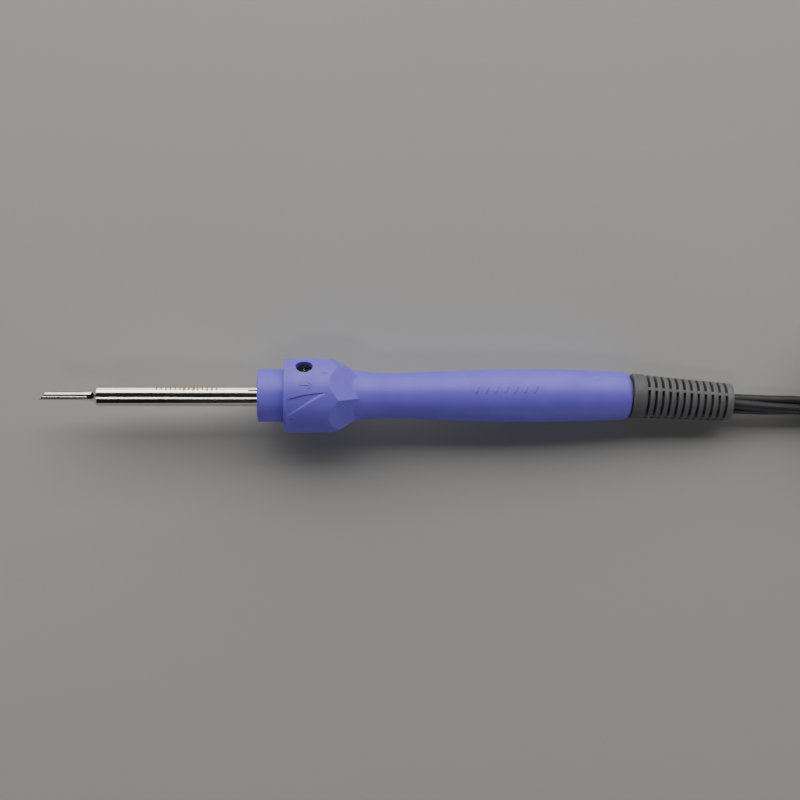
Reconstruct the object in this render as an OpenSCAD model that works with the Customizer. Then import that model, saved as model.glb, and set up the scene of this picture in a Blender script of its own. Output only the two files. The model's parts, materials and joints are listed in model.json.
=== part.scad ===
// Pencil soldering iron with a pull-off tip, a clamp screw and a three-wire mains lead.
// Millimetres. Z is up and the iron lies along X, its tip towards -X and its lead towards +X.
// Everything up to the lead is drawn on a straight axis that starts at the tip's point,
// and lay() then lets it down on its collar and on the end of its strain relief.

/* [Bit] */
// Diameter of the slender working rod
bit_d = 2.4; // [1.8:0.1:2.8]
// Length of the rod, from its point to the start of the flare
bit_len = 11.3; // [8:0.1:16]
// How much longer one side of the rod is than the other at its oblique end
bevel_len = 2; // [0.5:0.1:4]
// Length of the flare that joins the rod to the tube
flare_len = 3.6; // [2.4:0.1:6]
// Length of the bit's shank inside the tube
shank_len = 7; // [4:0.5:9]

/* [Tip tube] */
// Outer diameter of the tube
tube_d = 5.6; // [5:0.1:6.8]
// Wall of the tube
tube_wall = 0.4; // [0.3:0.05:0.6]
// Length of tube that shows between the flare and the nose
tube_show = 43.2; // [34:0.2:56]
// Width of the two slits in the tube's rear end
slit_w = 0.45; // [0.3:0.05:0.8]
// Length of slit that shows in front of the nose
slit_show = 2.4; // [1:0.1:5]
// Turn of the slits about the axis, from straight up towards the back
slit_turn = 28; // [0:1:45]

/* [Heater] */
// Radial gap between the heater and the tip tube
heater_gap = 0.3; // [0.2:0.05:0.4]
// Wall of the heater's steel sheath
sheath_wall = 0.3; // [0.2:0.05:0.35]
// Wall of the mica wrap inside the sheath
mica_wall = 0.25; // [0.15:0.05:0.3]
// Thickness of the resistance wire
winding_wire = 0.25; // [0.15:0.05:0.3]
// Turns of resistance wire that are drawn
winding_turns = 24; // [10:1:40]
// Length of the wound stretch
winding_len = 36; // [24:1:42]
// Diameter of the nickel leads
lead_d = 0.5; // [0.3:0.1:0.6]

/* [Nose and clamp] */
// Outer diameter of the nose
nose_d = 14.2; // [13:0.1:16]
// Length of nose that shows in front of the collar
nose_len = 7.1; // [4:0.1:12]
// Length of the nose's spigot inside the collar
spigot_len = 2.8; // [1.5:0.1:4]
// Length of the brass clamp block
block_len = 7; // [6:0.1:9]
// Radial running clearance of the tip tube in the clamp block
tube_fit = 0.05; // [0.02:0.01:0.1]
// Thickness of the earth lug behind the block
lug_t = 0.4; // [0.3:0.1:0.8]
// Length of the ceramic seat that holds the heater
seat_len = 3; // [2.5:0.1:4.5]

/* [Clamp screw] */
// Outer diameter of the screw's thread
screw_d = 2.6; // [2:0.1:3]
// Radial running clearance of the screw in its tapped hole
screw_fit = 0.05; // [0.02:0.01:0.1]
// Diameter of the screw's head
head_d = 4.2; // [3.8:0.1:4.8]
// Height of the screw's head
head_h = 1.6; // [1.2:0.1:2]
// Gap between the head and the wall of its recess
head_gap = 0.2; // [0.15:0.05:0.4]
// Distance from the collar's front face to the screw's axis
screw_back = 5.4; // [4.6:0.1:6.2]
// Turn of the screw about the axis, from straight up towards the back
screw_turn = 51; // [30:1:70]

/* [Handle] */
// Diameter of the collar
collar_d = 20; // [18.5:0.1:24]
// Length of the collar, from its front face to the start of the facets
collar_len = 12.2; // [11.8:0.1:15]
// Height of the raised lip round the collar's front edge
lip_h = 0.12; // [0.05:0.01:0.3]
// Width of that lip
lip_w = 1.1; // [0.6:0.1:2]
// Slope of the six facets behind the collar
facet_slope = 29.5; // [24:0.5:40]
// Turn of the facets' first corner about the axis
facet_turn = -8; // [-30:1:30]
// Diameter of the waist behind the facets
waist_d = 12.1; // [11.4:0.1:14.5]
// Diameter of the grip where it is widest
belly_d = 14.3; // [13:0.1:18]
// Diameter of the grip just before its rounded end
tail_d = 13.1; // [12.6:0.1:16]
// Length of the whole handle, from the collar's front face
handle_len = 93.4; // [84:0.2:112]
// Diameter of the bore that holds the nose, block, lug and seat
front_bore_d = 12.4; // [12:0.1:13.4]
// Diameter of the wiring bore along the handle
wire_bore_d = 8.4; // [8.2:0.1:8.8]

/* [Strain relief] */
// Diameter of the relief's flange
flange_d = 12.2; // [11.4:0.1:13]
// Length of the plain flange
flange_len = 3.3; // [2:0.1:5]
// Diameter of the relief's rear end
relief_end_d = 10.2; // [9:0.1:11]
// Number of slots
slots = 12; // [6:1:16]
// Distance from one slot to the next
slot_pitch = 1.935; // [1.5:0.005:2.4]
// Width of a slot
slot_w = 0.75; // [0.5:0.05:1]
// Width of the ribs that join the rings
rib_w = 1; // [0.6:0.1:1.6]
// Turn of the ribs about the axis
rib_turn = 22; // [0:1:45]
// Sideways bend of the relief, towards the front
relief_yaw = 3.7; // [0:0.1:6]
// Length of the relief's neck inside the handle
neck_len = 9; // [6:0.5:12]

/* [Lead] */
// Diameter of one insulated wire
wire_d = 2.7; // [2.2:0.1:2.7]
// Diameter of a wire's copper core
core_d = 1.2; // [0.8:0.1:1.4]
// How far the wires lie to one side of the relief's bore
wires_aside = 0.45; // [0:0.05:0.5]

/* [Hank and plug] */
// Height of the tied hank
hank_h = 17.4; // [15:0.1:20]
// Width of the tie's band
tie_w = 9; // [5:0.5:14]
// Thickness of the tie's band
tie_t = 1; // [0.6:0.1:1.5]
// Width and height of the plug's body
plug_size = [27, 24]; // [20:0.5:32]
// Length of the plug's body
plug_len = 30; // [24:0.5:38]
// Distance between the plug's two blades
blade_pitch = 12.7; // [12:0.1:13]
// Thickness and width of a blade
blade_size = [1.5, 6.35]; // [1:0.05:8]
// Length of the blades outside the plug
blade_out = 17; // [14:0.5:18.5]
// Diameter of the earth pin
earth_d = 4.75; // [4.5:0.05:5]
// Length of the earth pin outside the plug
earth_out = 20; // [17:0.5:22]

/* [Hidden] */
$fn = 64;
eps = 0.01;       // overlap that lets cuts pass through a face
seat_gap = 0.02;  // radial gap of pieces pressed into a bore
stop_gap = 0.1;   // gap between the tip tube's rear end and its stop
wire_apart = 0.04; // gap between neighbouring wires of the lead

// Stations along the axis, from the tip's point
flare_end = bit_len + flare_len;
nose_front = flare_end + tube_show;
collar_front = nose_front + nose_len;
block_front = collar_front + spigot_len;
lug_front = block_front + block_len;
seat_front = lug_front + lug_t;
seat_rear = seat_front + seat_len;
tube_rear = seat_front - stop_gap;
screw_at = collar_front + screw_back;
facet_at = collar_front + collar_len;
handle_end = collar_front + handle_len;

// Heater radii, from the outside in
tube_in_r = tube_d / 2 - tube_wall;
sheath_r = tube_in_r - heater_gap;
mica_r = sheath_r - sheath_wall;
winding_r = mica_r - mica_wall;
heater_core_r = winding_r - winding_wire;
lead_aside = heater_core_r * 0.54;
shank_rear = flare_end + shank_len;
sheath_front = shank_rear + 1;
sheath_rear = seat_front + 1.6;
winding_front = sheath_front + 3;
core_rear = seat_rear + 1.4;
lead_front = winding_front + 1;

// Wiring behind the heater: two splices and the earth crimp, on the three wires' own lines
wire_ring = (wire_d + wire_apart) / sqrt(3);
splice_front = core_rear + 9.5;
splice_len = 6;
cover_front = splice_front - 1;
cover_len = 9;
ferrule_front = splice_front - 2;
ferrule_len = 5;
ferrule_r = 0.9;
cover_r = wire_d / 2 - 0.05;
insulation_front = cover_front + cover_len;
tail_z = front_bore_d / 2 - 2.7;
relief_front = handle_end - neck_len;
grip_len = 3;

// Strain relief
relief_gap = 0.4;
bend_at = handle_end + relief_gap;
flange_to_slot = flange_len + 0.4;
relief_len = flange_to_slot + slot_w + (slots - 1) * slot_pitch + 1.85;
relief_bore_r = wire_ring + wire_d / 2 + wires_aside + 0.05;
bore_step = 0.15;        // the bore is wider behind the bend
neck_r = relief_bore_r + 1.05;
barb_r = neck_r + 0.3;
ring_start_d = flange_d - 0.5;

// Attitude: the collar's rear edge and the relief's rear edge both touch the ground
rest_at = facet_at;
end_x = bend_at + relief_len * cos(relief_yaw);
lean = atan((collar_d - relief_end_d) / 2 / (end_x - rest_at));
axis_h = rest_at * sin(lean) + collar_d / 2 * cos(lean);
end_reach = relief_end_d / 2 * sqrt(1 - pow(cos(lean) * cos(relief_yaw), 2));
mid_x = (end_x * cos(lean) + end_reach) / 2;

// The lead's route, in the model's own frame: from the relief to the hank, and on to the plug
lead_r = wire_ring + wire_d / 2;
RUN = [[92.9, -2.2, 5.1], [96.5, -2.4, 4.9], [100, -2.6, 4.6], [104, -2.8, 4.1],
    [108, -2.9, 3.6], [112, -3, 3.2], [116, -3.4, 3], [120, -4.1, 2.95], [125, -5.5, 2.95],
    [130, -6.7, 2.95], [134, -7.2, 2.95]];
TAIL = [[267, -4.4, 14.4], [271, -4.2, 14.4], [275, -2.9, 14], [278.5, -0.5, 13.3],
    [281.5, 1.8, 12.6], [284, 3.2, 12.1], [286, 3.5, 12]];
lead_sides = 12;
wire_sides = 12;
HANK_ENDS = [143, 253];  // where the round ends of the hank are centred
HANK_Y = 10.5;           // middle line of the hank
hank_r = 20.7;           // half its width at the ends
hank_waist_r = 11.6;     // half its width in the tie
waist_reach = 50;        // how far from the tie the hank widens again
plug_at = 302;           // rear face of the plug's body
plug_y = 3.5;            // the plug lies a little behind the iron's axis
plug_z = plug_size[1] / 2;
boot_front = 286;
blade_in = 8;
earth_drop = 11.9 / 2;
earth_step = 0.35;       // the earth pin is thinner inside the plug, behind its shoulder

function smooth(t) = t * t * (3 - 2 * t);
function mix(a, b, t) = a + (b - a) * t;

// Places what is drawn on the straight axis
module lay() {
    translate([-mid_x, 0, axis_h])
        rotate([0, lean, 0])
            children();
}

// A cylinder along the iron's axis
module along(from, len, r, r2 = -1) {
    translate([from, 0, 0])
        rotate([0, 90, 0])
            cylinder(h = len, r1 = r, r2 = r2 < 0 ? r : r2);
}

// A revolved outline: its points are [station, radius]
module turned(points) {
    rotate([0, 90, 0])
        rotate_extrude()
            polygon([for (p = points) [p[1], p[0]]]);
}

// A tube along the iron's axis
module sleeve(from, len, r_out, r_in) {
    difference() {
        along(from, len, r_out);
        along(from - eps, len + 2 * eps, r_in);
    }
}

// The direction of a route at point i, halfway between its neighbours
function heading(p, i) = let (d = p[min(i + 1, len(p) - 1)] - p[max(i - 1, 0)]) d / norm(d);
function side_of(d) = let (s = cross([0, 0, 1], d)) s / norm(s);
function ring_at(p, i, r, n) = let (d = heading(p, i), u = side_of(d), v = cross(d, u))
    [for (k = [0 : n - 1]) p[i] + r * (cos(360 * k / n) * u + sin(360 * k / n) * v)];

// One closed tube swept along a route, its rings joined by quads
module swept(p, r, n) {
    rings = len(p);
    polyhedron(
        points = [for (i = [0 : rings - 1]) each ring_at(p, i, r, n)],
        faces = concat(
            [[for (k = [0 : n - 1]) k]],
            [for (i = [0 : rings - 2], k = [0 : n - 1])
                [i * n + k, (i + 1) * n + k, (i + 1) * n + (k + 1) % n, i * n + (k + 1) % n]],
            [[for (k = [n - 1 : -1 : 0]) (rings - 1) * n + k]]));
}

// Where wire k lies in the three-wire lead: 0 is the earth wire, on top
function wire_y(k) = -wire_ring * sin(120 * k);
function wire_z(k) = wire_ring * cos(120 * k);
function wire_points(k, from) = [
    [from, wire_y(k), wire_z(k)],
    [relief_front, wire_y(k), wire_z(k)],
    [bend_at, wire_y(k) - wires_aside, wire_z(k)],
    [bend_at + relief_len * cos(relief_yaw) + (wire_y(k) - wires_aside) * sin(relief_yaw),
        -relief_len * sin(relief_yaw) + (wire_y(k) - wires_aside) * cos(relief_yaw), wire_z(k)]];

// ---- Tip -----------------------------------------------------------------------------

// Radius of the flare: a concave quarter sweep from the rod to the tube
function flare_r(t) = mix(bit_d, tube_d, 1 - sqrt(1 - t * t)) / 2;

module tip_bit() {
    color("#b9bcbf")
        lay()
            difference() {
                union() {
                    along(0, bit_len + 1, bit_d / 2);
                    along(bit_len + 1, flare_end + shank_len - bit_len - 1, bit_d / 2);
                    along(flare_end + 0.6, shank_len - 0.6, tube_in_r - seat_gap);
                }
                translate([0, -bit_d / 2, 0])
                    rotate([0, 0, atan(bit_d / bevel_len)])
                        translate([-eps, 0, -bit_d])
                            cube([4 * bit_d + bevel_len, 4 * bit_d, 2 * bit_d]);
            }
}

module tip_tube() {
    steps = 8;
    color("#c9cbcc")
        lay()
            difference() {
                turned(concat(
                    [[bit_len, 0]],
                    [for (i = [0 : steps]) [bit_len + flare_len * sin(90 * i / steps),
                        flare_r(sin(90 * i / steps))]],
                    [[tube_rear, tube_d / 2], [tube_rear, 0]]));
                along(bit_len - eps, flare_len + shank_len, bit_d / 2 + seat_gap);
                along(flare_end + 0.6 - seat_gap, tube_rear - flare_end, tube_in_r);
                rotate([90 - slit_turn, 0, 0]) {
                    translate([nose_front - slit_show, -slit_w / 2, -tube_d])
                        cube([tube_rear - nose_front + slit_show + eps, slit_w, 2 * tube_d]);
                    translate([nose_front - slit_show, 0, -tube_d])
                        cylinder(h = 2 * tube_d, r = slit_w / 2);
                }
            }
}

// ---- Heater --------------------------------------------------------------------------

module lead_bores(r) {
    for (side = [-1, 1])
        translate([0, side * lead_aside, 0])
            along(lead_front, core_rear - lead_front + 1, r);
}

module heater_core() {
    color("#efe9dc")
        lay()
            difference() {
                along(sheath_front + 1, core_rear - sheath_front - 1, heater_core_r);
                lead_bores(lead_d / 2 + 0.05);
            }
}

module heater_winding() {
    turn = winding_len / winding_turns;
    color("#8f8a84")
        lay()
            difference() {
                turned(concat(
                    [[winding_front, 0]],
                    [for (i = [0 : winding_turns - 1], k = [0.1, 0.5, 0.9])
                        [winding_front + (i + k) * turn,
                            heater_core_r + (k == 0.5 ? winding_wire - 0.02 : 0.08)]],
                    [[winding_front + winding_len, 0]]));
                along(winding_front - 1, winding_len + 2, heater_core_r + eps);
            }
}

module mica_wrap() {
    color("#cdb98a")
        lay()
            sleeve(sheath_front + 1, sheath_rear - sheath_front - 1,
                mica_r - seat_gap, winding_r);
}

module heater_sheath() {
    color("#8d8f8e")
        lay()
            difference() {
                union() {
                    along(sheath_front, 1, sheath_r - 0.5, sheath_r);
                    along(sheath_front + 1 - eps, sheath_rear - sheath_front - 1 + eps, sheath_r);
                }
                along(sheath_front + 1, sheath_rear - sheath_front, mica_r);
            }
}

module heater_seat() {
    color("#e6dcc6")
        lay()
            difference() {
                along(seat_front, seat_len, front_bore_d / 2 - seat_gap);
                along(seat_front - eps, sheath_rear - seat_front + eps, sheath_r + seat_gap);
                along(seat_front, seat_len + 1, heater_core_r + seat_gap);
                translate([seat_front - eps, -1.3, tail_z - 0.1])
                    cube([seat_len + 2 * eps, 2.6, lug_t + 0.2]);
            }
}

// The leads leave the core and spread to the live and neutral wires' lines
function lead_points(k, from) = [
    [from, wire_y(k) > 0 ? lead_aside : -lead_aside, 0],
    [core_rear + 0.3, wire_y(k) > 0 ? lead_aside : -lead_aside, 0],
    [core_rear + 7, wire_y(k), wire_z(k)],
    [splice_front + 2, wire_y(k), wire_z(k)]];

// The sleeves cover the sloping stretch, clear of the seat and of the ferrules
function sleeve_points(k) = let (p = lead_points(k, 0), step = p[2] - p[1])
    [p[1] + 0.08 * step, p[1] + 0.95 * step];

module heater_leads() {
    color("#a9a6a0")
        lay()
            for (k = [1, 2])
                swept(lead_points(k, lead_front), lead_d / 2, wire_sides);
}

module lead_sleeves() {
    color("#e9e4d2")
        lay()
            for (k = [1, 2])
                difference() {
                    swept(sleeve_points(k), lead_d / 2 + 0.3, wire_sides);
                    swept(lead_points(k, lead_front), lead_d / 2 + 0.05, wire_sides);
                }
}

module splice_ferrules() {
    color("#b08d57")
        lay()
            for (k = [1, 2])
                translate([0, wire_y(k), wire_z(k)])
                    difference() {
                        along(splice_front, splice_len, ferrule_r);
                        along(splice_front - eps, 2, lead_d / 2);
                        along(splice_front + splice_len - 3, 3 + eps, core_d / 2);
                    }
}

module splice_covers() {
    color("#3c3a38")
        lay()
            for (k = [1, 2])
                translate([0, wire_y(k), wire_z(k)])
                    sleeve(cover_front, cover_len, cover_r, ferrule_r + seat_gap);
}

// ---- Nose, clamp and earth -----------------------------------------------------------

module nose() {
    soft = 0.35;
    color("#6467b4")
        lay()
            difference() {
                turned([[nose_front, 0], [nose_front, nose_d / 2 - soft],
                    [nose_front + soft, nose_d / 2], [collar_front, nose_d / 2],
                    [collar_front, front_bore_d / 2 - seat_gap],
                    [block_front, front_bore_d / 2 - seat_gap], [block_front, 0]]);
                along(nose_front - eps, nose_len + spigot_len + 1, tube_d / 2 + heater_gap);
            }
}

// Turns children so that their Z is the screw's axis, pointing out of the collar
module at_screw() {
    translate([screw_at, 0, 0])
        rotate([-screw_turn, 0, 0])
            children();
}

module clamp_block() {
    color("#c4a35a")
        lay()
            difference() {
                along(block_front, block_len, front_bore_d / 2 - seat_gap);
                along(block_front - eps, block_len + 1, tube_d / 2 + tube_fit);
                at_screw()
                    cylinder(h = front_bore_d, r = screw_d / 2 + screw_fit);
            }
}

head_seat = collar_d / 2 - head_h - 1;
screw_end = tube_d / 2 + tube_fit;

module clamp_screw() {
    slot = [0.75, 2.7, 0.9];
    edge = 0.35;
    color("#232323")
        lay()
            at_screw()
                difference() {
                    union() {
                        translate([0, 0, screw_end])
                            cylinder(h = 0.5, r1 = screw_d / 2 - 0.4, r2 = screw_d / 2);
                        translate([0, 0, screw_end + 0.5 - eps])
                            cylinder(h = head_seat + 0.5 - screw_end, r = screw_d / 2);
                        translate([0, 0, head_seat + 0.25])
                            rotate_extrude()
                                polygon([[0, 0], [head_d / 2, 0], [head_d / 2, head_h - 2 * edge],
                                    [head_d / 2 - edge, head_h - edge / 2],
                                    [head_d / 2 - 2.4 * edge, head_h], [0, head_h]]);
                    }
                    for (turn = [45, 135])
                        rotate([0, 0, turn])
                            translate([-slot[0] / 2, -slot[1] / 2, head_seat + head_h - slot[2] + 0.25])
                                cube([slot[0], slot[1], slot[2] + 1]);
                }
}

// A ring behind the block, with a tail that steps down to the earth wire
module earth_lug() {
    tail_w = 2;
    low = wire_z(0) - lug_t / 2;
    bend = seat_rear + 1;
    tail_end = ferrule_front + 2;
    color("#c9a95f")
        lay()
            difference() {
                union() {
                    along(lug_front, lug_t, front_bore_d / 2 - seat_gap);
                    translate([0, tail_w / 2, 0])
                        rotate([90, 0, 0])
                            linear_extrude(tail_w)
                                polygon([[lug_front, tail_z], [bend, tail_z], [bend + 4, low],
                                    [tail_end, low], [tail_end, low + lug_t],
                                    [bend + 4.2, low + lug_t], [bend + 0.2, tail_z + lug_t],
                                    [lug_front, tail_z + lug_t]]);
                }
                along(lug_front - eps, lug_t + 2 * eps, tube_d / 2 + heater_gap);
            }
}

module earth_ferrule() {
    color("#b08d57")
        lay()
            difference() {
                translate([0, 0, wire_z(0)])
                    along(ferrule_front, ferrule_len, 1.15);
                translate([ferrule_front - eps, -1.01, wire_z(0) - lug_t / 2])
                    cube([2 + eps, 2.02, lug_t]);
                translate([0, 0, wire_z(0)])
                    along(ferrule_front + ferrule_len - 2.6, 3, core_d / 2);
            }
}

// ---- Handle --------------------------------------------------------------------------

neck_at = facet_at + 6.3;
waist_at = neck_at + 9.3;
belly_at = waist_at + 0.55 * (handle_end - waist_at);
round_at = handle_end - 2.6;

// Radius of the grip at station s: neck, waist, belly and tail in one smooth line
function grip_r(s) =
    s < waist_at ? waist_d / 2 + 0.55 * (1 - smooth((s - neck_at) / (waist_at - neck_at)))
    : s < belly_at ? mix(waist_d, belly_d, smooth(pow((s - waist_at) / (belly_at - waist_at), 0.8))) / 2
    : mix(belly_d, tail_d, pow((s - belly_at) / (round_at - belly_at), 2)) / 2;

// The collar, cut back by six flat facets that narrow to the waist
module faceted_collar() {
    difference() {
        union() {
            along(collar_front, collar_len + 8.5, collar_d / 2);
            turned([[collar_front, 0], [collar_front, collar_d / 2 - 0.2],
                [collar_front + 0.3, collar_d / 2 + lip_h],
                [collar_front + lip_w - 0.3, collar_d / 2 + lip_h],
                [collar_front + lip_w, collar_d / 2], [collar_front + lip_w, 0]]);
        }
        for (k = [0 : 5])
            rotate([30 + 60 * k - facet_turn, 0, 0])
                translate([facet_at, -collar_d, collar_d / 2])
                    rotate([0, facet_slope, 0])
                        translate([-6, 0, 0])
                            cube([3 * collar_d, 2 * collar_d, collar_d]);
    }
}

module handle() {
    bands = 26;
    grip_from = facet_at + 1;
    tail_r = tail_d / 2;
    round_len = handle_end - round_at;
    round_in = 1.3;
    color("#6467b4")
        lay()
            difference() {
                union() {
                    faceted_collar();
                    turned(concat(
                        [[grip_from, 0], [grip_from, grip_r(neck_at)]],
                        [for (i = [0 : bands]) let (s = mix(neck_at, round_at, i / bands))
                            [s, grip_r(s)]],
                        [for (a = [22.5 : 22.5 : 90]) [round_at + round_len * sin(a),
                            tail_r - round_in * (1 - cos(a))]],
                        [[handle_end, 0]]));
                }
                along(collar_front - eps, seat_rear - collar_front + eps, front_bore_d / 2);
                along(seat_rear - eps, handle_end - seat_rear, wire_bore_d / 2);
                along(relief_front, neck_len + 1, neck_r);
                along(relief_front, 2, barb_r);
                at_screw() {
                    cylinder(h = collar_d, r = screw_d / 2 + 0.3);
                    translate([0, 0, head_seat])
                        cylinder(h = collar_d, r = head_d / 2 + head_gap);
                }
            }
}

// ---- Lead inside the handle, grip and strain relief ----------------------------------

module wire_cores() {
    color("#b87333")
        lay()
            for (k = [0 : 2])
                swept(wire_points(k, k == 0 ? ferrule_front + ferrule_len - 2.6
                    : splice_front + splice_len - 3), core_d / 2, wire_sides);
}

module wire_insulation() {
    color("#35363a")
        lay()
            for (k = [0 : 2])
                difference() {
                    swept(wire_points(k, insulation_front), wire_d / 2, wire_sides);
                    swept(wire_points(k, insulation_front - 3), core_d / 2, wire_sides);
                }
}

// A crimped ring that bears on the relief's neck when the lead is pulled
module cord_grip() {
    color("#9a9c9e")
        lay()
            difference() {
                along(relief_front - grip_len, grip_len, wire_bore_d / 2 - 0.2);
                for (k = [0 : 2])
                    translate([0, wire_y(k), wire_z(k)])
                        along(relief_front - grip_len - eps, grip_len + 2 * eps, wire_d / 2);
            }
}

// Children are drawn along X from the bend, on the relief's own axis
module bent() {
    translate([bend_at, 0, 0])
        rotate([0, 0, -relief_yaw])
            children();
}

module relief_slot(from) {
    difference() {
        along(from, slot_w, flange_d);
        for (turn = [0, 90])
            rotate([turn - rib_turn, 0, 0])
                translate([from - 1, -rib_w / 2, -2 * flange_d])
                    cube([slot_w + 2, rib_w, 4 * flange_d]);
    }
}

module strain_relief() {
    round_w = 0.6;
    color("#77777a")
        lay()
            difference() {
                union() {
                    along(relief_front, neck_len + relief_gap + 0.5, neck_r - seat_gap);
                    along(relief_front, 2, barb_r - seat_gap);
                    bent()
                        difference() {
                            turned([[0, 0], [0, flange_d / 2 - round_w],
                                [round_w, flange_d / 2], [flange_len, flange_d / 2 - 0.1],
                                [flange_to_slot, ring_start_d / 2],
                                [relief_len, relief_end_d / 2], [relief_len, 0]]);
                            for (i = [0 : slots - 1])
                                relief_slot(flange_to_slot + i * slot_pitch);
                        }
                }
                along(relief_front - 1, neck_len + relief_gap + 1.3, relief_bore_r);
                bent()
                    along(-0.3, relief_len + 1, relief_bore_r + bore_step);
            }
}

// ---- Lead outside the iron, hank, tie and plug ---------------------------------------

module cord_run() {
    color("#3a3b3f")
        swept(RUN, lead_r, lead_sides);
}

// Half the hank's width at distance x from its tie
function hank_half(x) = abs(x) > waist_reach ? hank_r
    : hank_r - (hank_r - hank_waist_r) * pow(cos(90 * x / waist_reach), 2);

// The hank's outline: two round ends, drawn in to a waist where the tie holds it
function hank_outline(middle) = let (side = [for (x = [-waist_reach : 5 : waist_reach])
        [middle + x, hank_half(x)]], n = len(side))
    concat(
        [for (a = [-90 : -15 : -270]) [HANK_ENDS[0] + hank_r * cos(a), hank_r * sin(a)]],
        side,
        [for (a = [90 : -15 : -90]) [HANK_ENDS[1] + hank_r * cos(a), hank_r * sin(a)]],
        [for (i = [n - 1 : -1 : 0]) [side[i][0], -side[i][1]]]);

module cord_hank() {
    middle = (HANK_ENDS[0] + HANK_ENDS[1]) / 2;
    color("#3a3b3f")
        difference() {
            translate([0, HANK_Y, 0])
                linear_extrude(hank_h)
                    polygon(hank_outline(middle));
            tie_band(5 * tie_t);
        }
}

// The tie's band, round the hank's waist: it is as thick as the band, or thicker as a cutter
module tie_band(reach) {
    middle = (HANK_ENDS[0] + HANK_ENDS[1]) / 2;
    translate([middle - tie_w / 2, HANK_Y, hank_h / 2])
        difference() {
            translate([0, -hank_waist_r - reach, -hank_h / 2 - (reach - tie_t)])
                cube([tie_w, 2 * (hank_waist_r + reach), hank_h + 2 * (reach - tie_t)]);
            translate([-1, -hank_waist_r + eps, -hank_h / 2 + tie_t])
                cube([tie_w + 2, 2 * (hank_waist_r - eps), hank_h - 2 * tie_t]);
        }
}

module cord_tie() {
    color("#26272a")
        tie_band(tie_t);
}

module cord_tail() {
    color("#3a3b3f")
        swept(TAIL, lead_r, lead_sides);
}

// Ribbed sleeve between the lead and the plug's body
module plug_boot() {
    rings = 4;
    pitch = (plug_at - boot_front) / rings;
    color("#2b2c2f")
        translate([0, plug_y, plug_z])
            turned(concat(
                [[boot_front, 0]],
                [for (i = [0 : rings - 1], k = [0, 0.62, 0.64, 0.98])
                    [boot_front + (i + k) * pitch, 4.4 + 0.55 * i - (k > 0.63 ? 0.7 : 0)]],
                [[plug_at, 5.9], [plug_at, 0]]));
}

module plug_body() {
    hollow_r = 13.6;
    hollow_in = 1.6;
    color("#2b2c2f")
        difference() {
            translate([plug_at, plug_y, plug_z])
                rotate([90, 0, 90])
                    linear_extrude(plug_len)
                        intersection() {
                            square(plug_size, center = true);
                            rotate(45)
                                square(plug_size[0] * 1.06, center = true);
                        }
            for (side = [-1, 1])
                translate([plug_at + plug_len * 0.42,
                    plug_y + side * (plug_size[0] / 2 + hollow_r - hollow_in), -1])
                    cylinder(h = plug_size[1] + 2, r = hollow_r);
            plug_blades_at(seat_gap / 2);
            earth_at(seat_gap / 2);
        }
}

module plug_blades_at(grow) {
    for (side = [-1, 1])
        translate([plug_at + plug_len - blade_in,
            plug_y + side * blade_pitch / 2 - blade_size[0] / 2 - grow,
            plug_z + earth_drop - blade_size[1] / 2 - grow])
            cube([blade_in + blade_out, blade_size[0] + 2 * grow, blade_size[1] + 2 * grow]);
}

module plug_blades() {
    color("#b9a46a")
        difference() {
            plug_blades_at(0);
            for (side = [-1, 1])
                translate([plug_at + plug_len + blade_out - 4, plug_y + side * blade_pitch / 2,
                    plug_z + earth_drop])
                    rotate([90, 0, 0])
                        cylinder(h = 4, r = 1.5, center = true);
        }
}

// The earth pin's thinner root, held in the plug's body
module earth_at(grow) {
    translate([plug_at + plug_len - blade_in, plug_y, plug_z - earth_drop])
        rotate([0, 90, 0])
            cylinder(h = blade_in + 1, r = earth_d / 2 - earth_step + grow);
}

module plug_earth_pin() {
    straight = earth_out - earth_d / 2;
    color("#b9a46a") {
        earth_at(0);
        translate([plug_at + plug_len + seat_gap, plug_y, plug_z - earth_drop])
            rotate([0, 90, 0])
                cylinder(h = straight - seat_gap, r = earth_d / 2);
        translate([plug_at + plug_len + straight, plug_y, plug_z - earth_drop])
            sphere(r = earth_d / 2);
    }
}

tip_bit();
tip_tube();
heater_core();
heater_winding();
mica_wrap();
heater_sheath();
heater_seat();
heater_leads();
lead_sleeves();
splice_ferrules();
splice_covers();
nose();
clamp_block();
clamp_screw();
earth_lug();
earth_ferrule();
handle();
wire_insulation();
wire_cores();
cord_grip();
strain_relief();
cord_run();
cord_hank();
cord_tie();
cord_tail();
plug_boot();
plug_body();
plug_blades();
plug_earth_pin();
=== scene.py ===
"""A mains soldering iron with its lead and plug, dressed for rendering.

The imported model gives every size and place. Lengths are written in millimetres, along lines that
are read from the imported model, and turned to metres where a mesh is made. Stations run along the
iron from the point of its bit towards the lead. Angles round a line turn from its upper side
towards its +Y side, in degrees.
"""
import json
import logging
import math
from collections.abc import Callable
from dataclasses import dataclass
from enum import Enum

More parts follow.
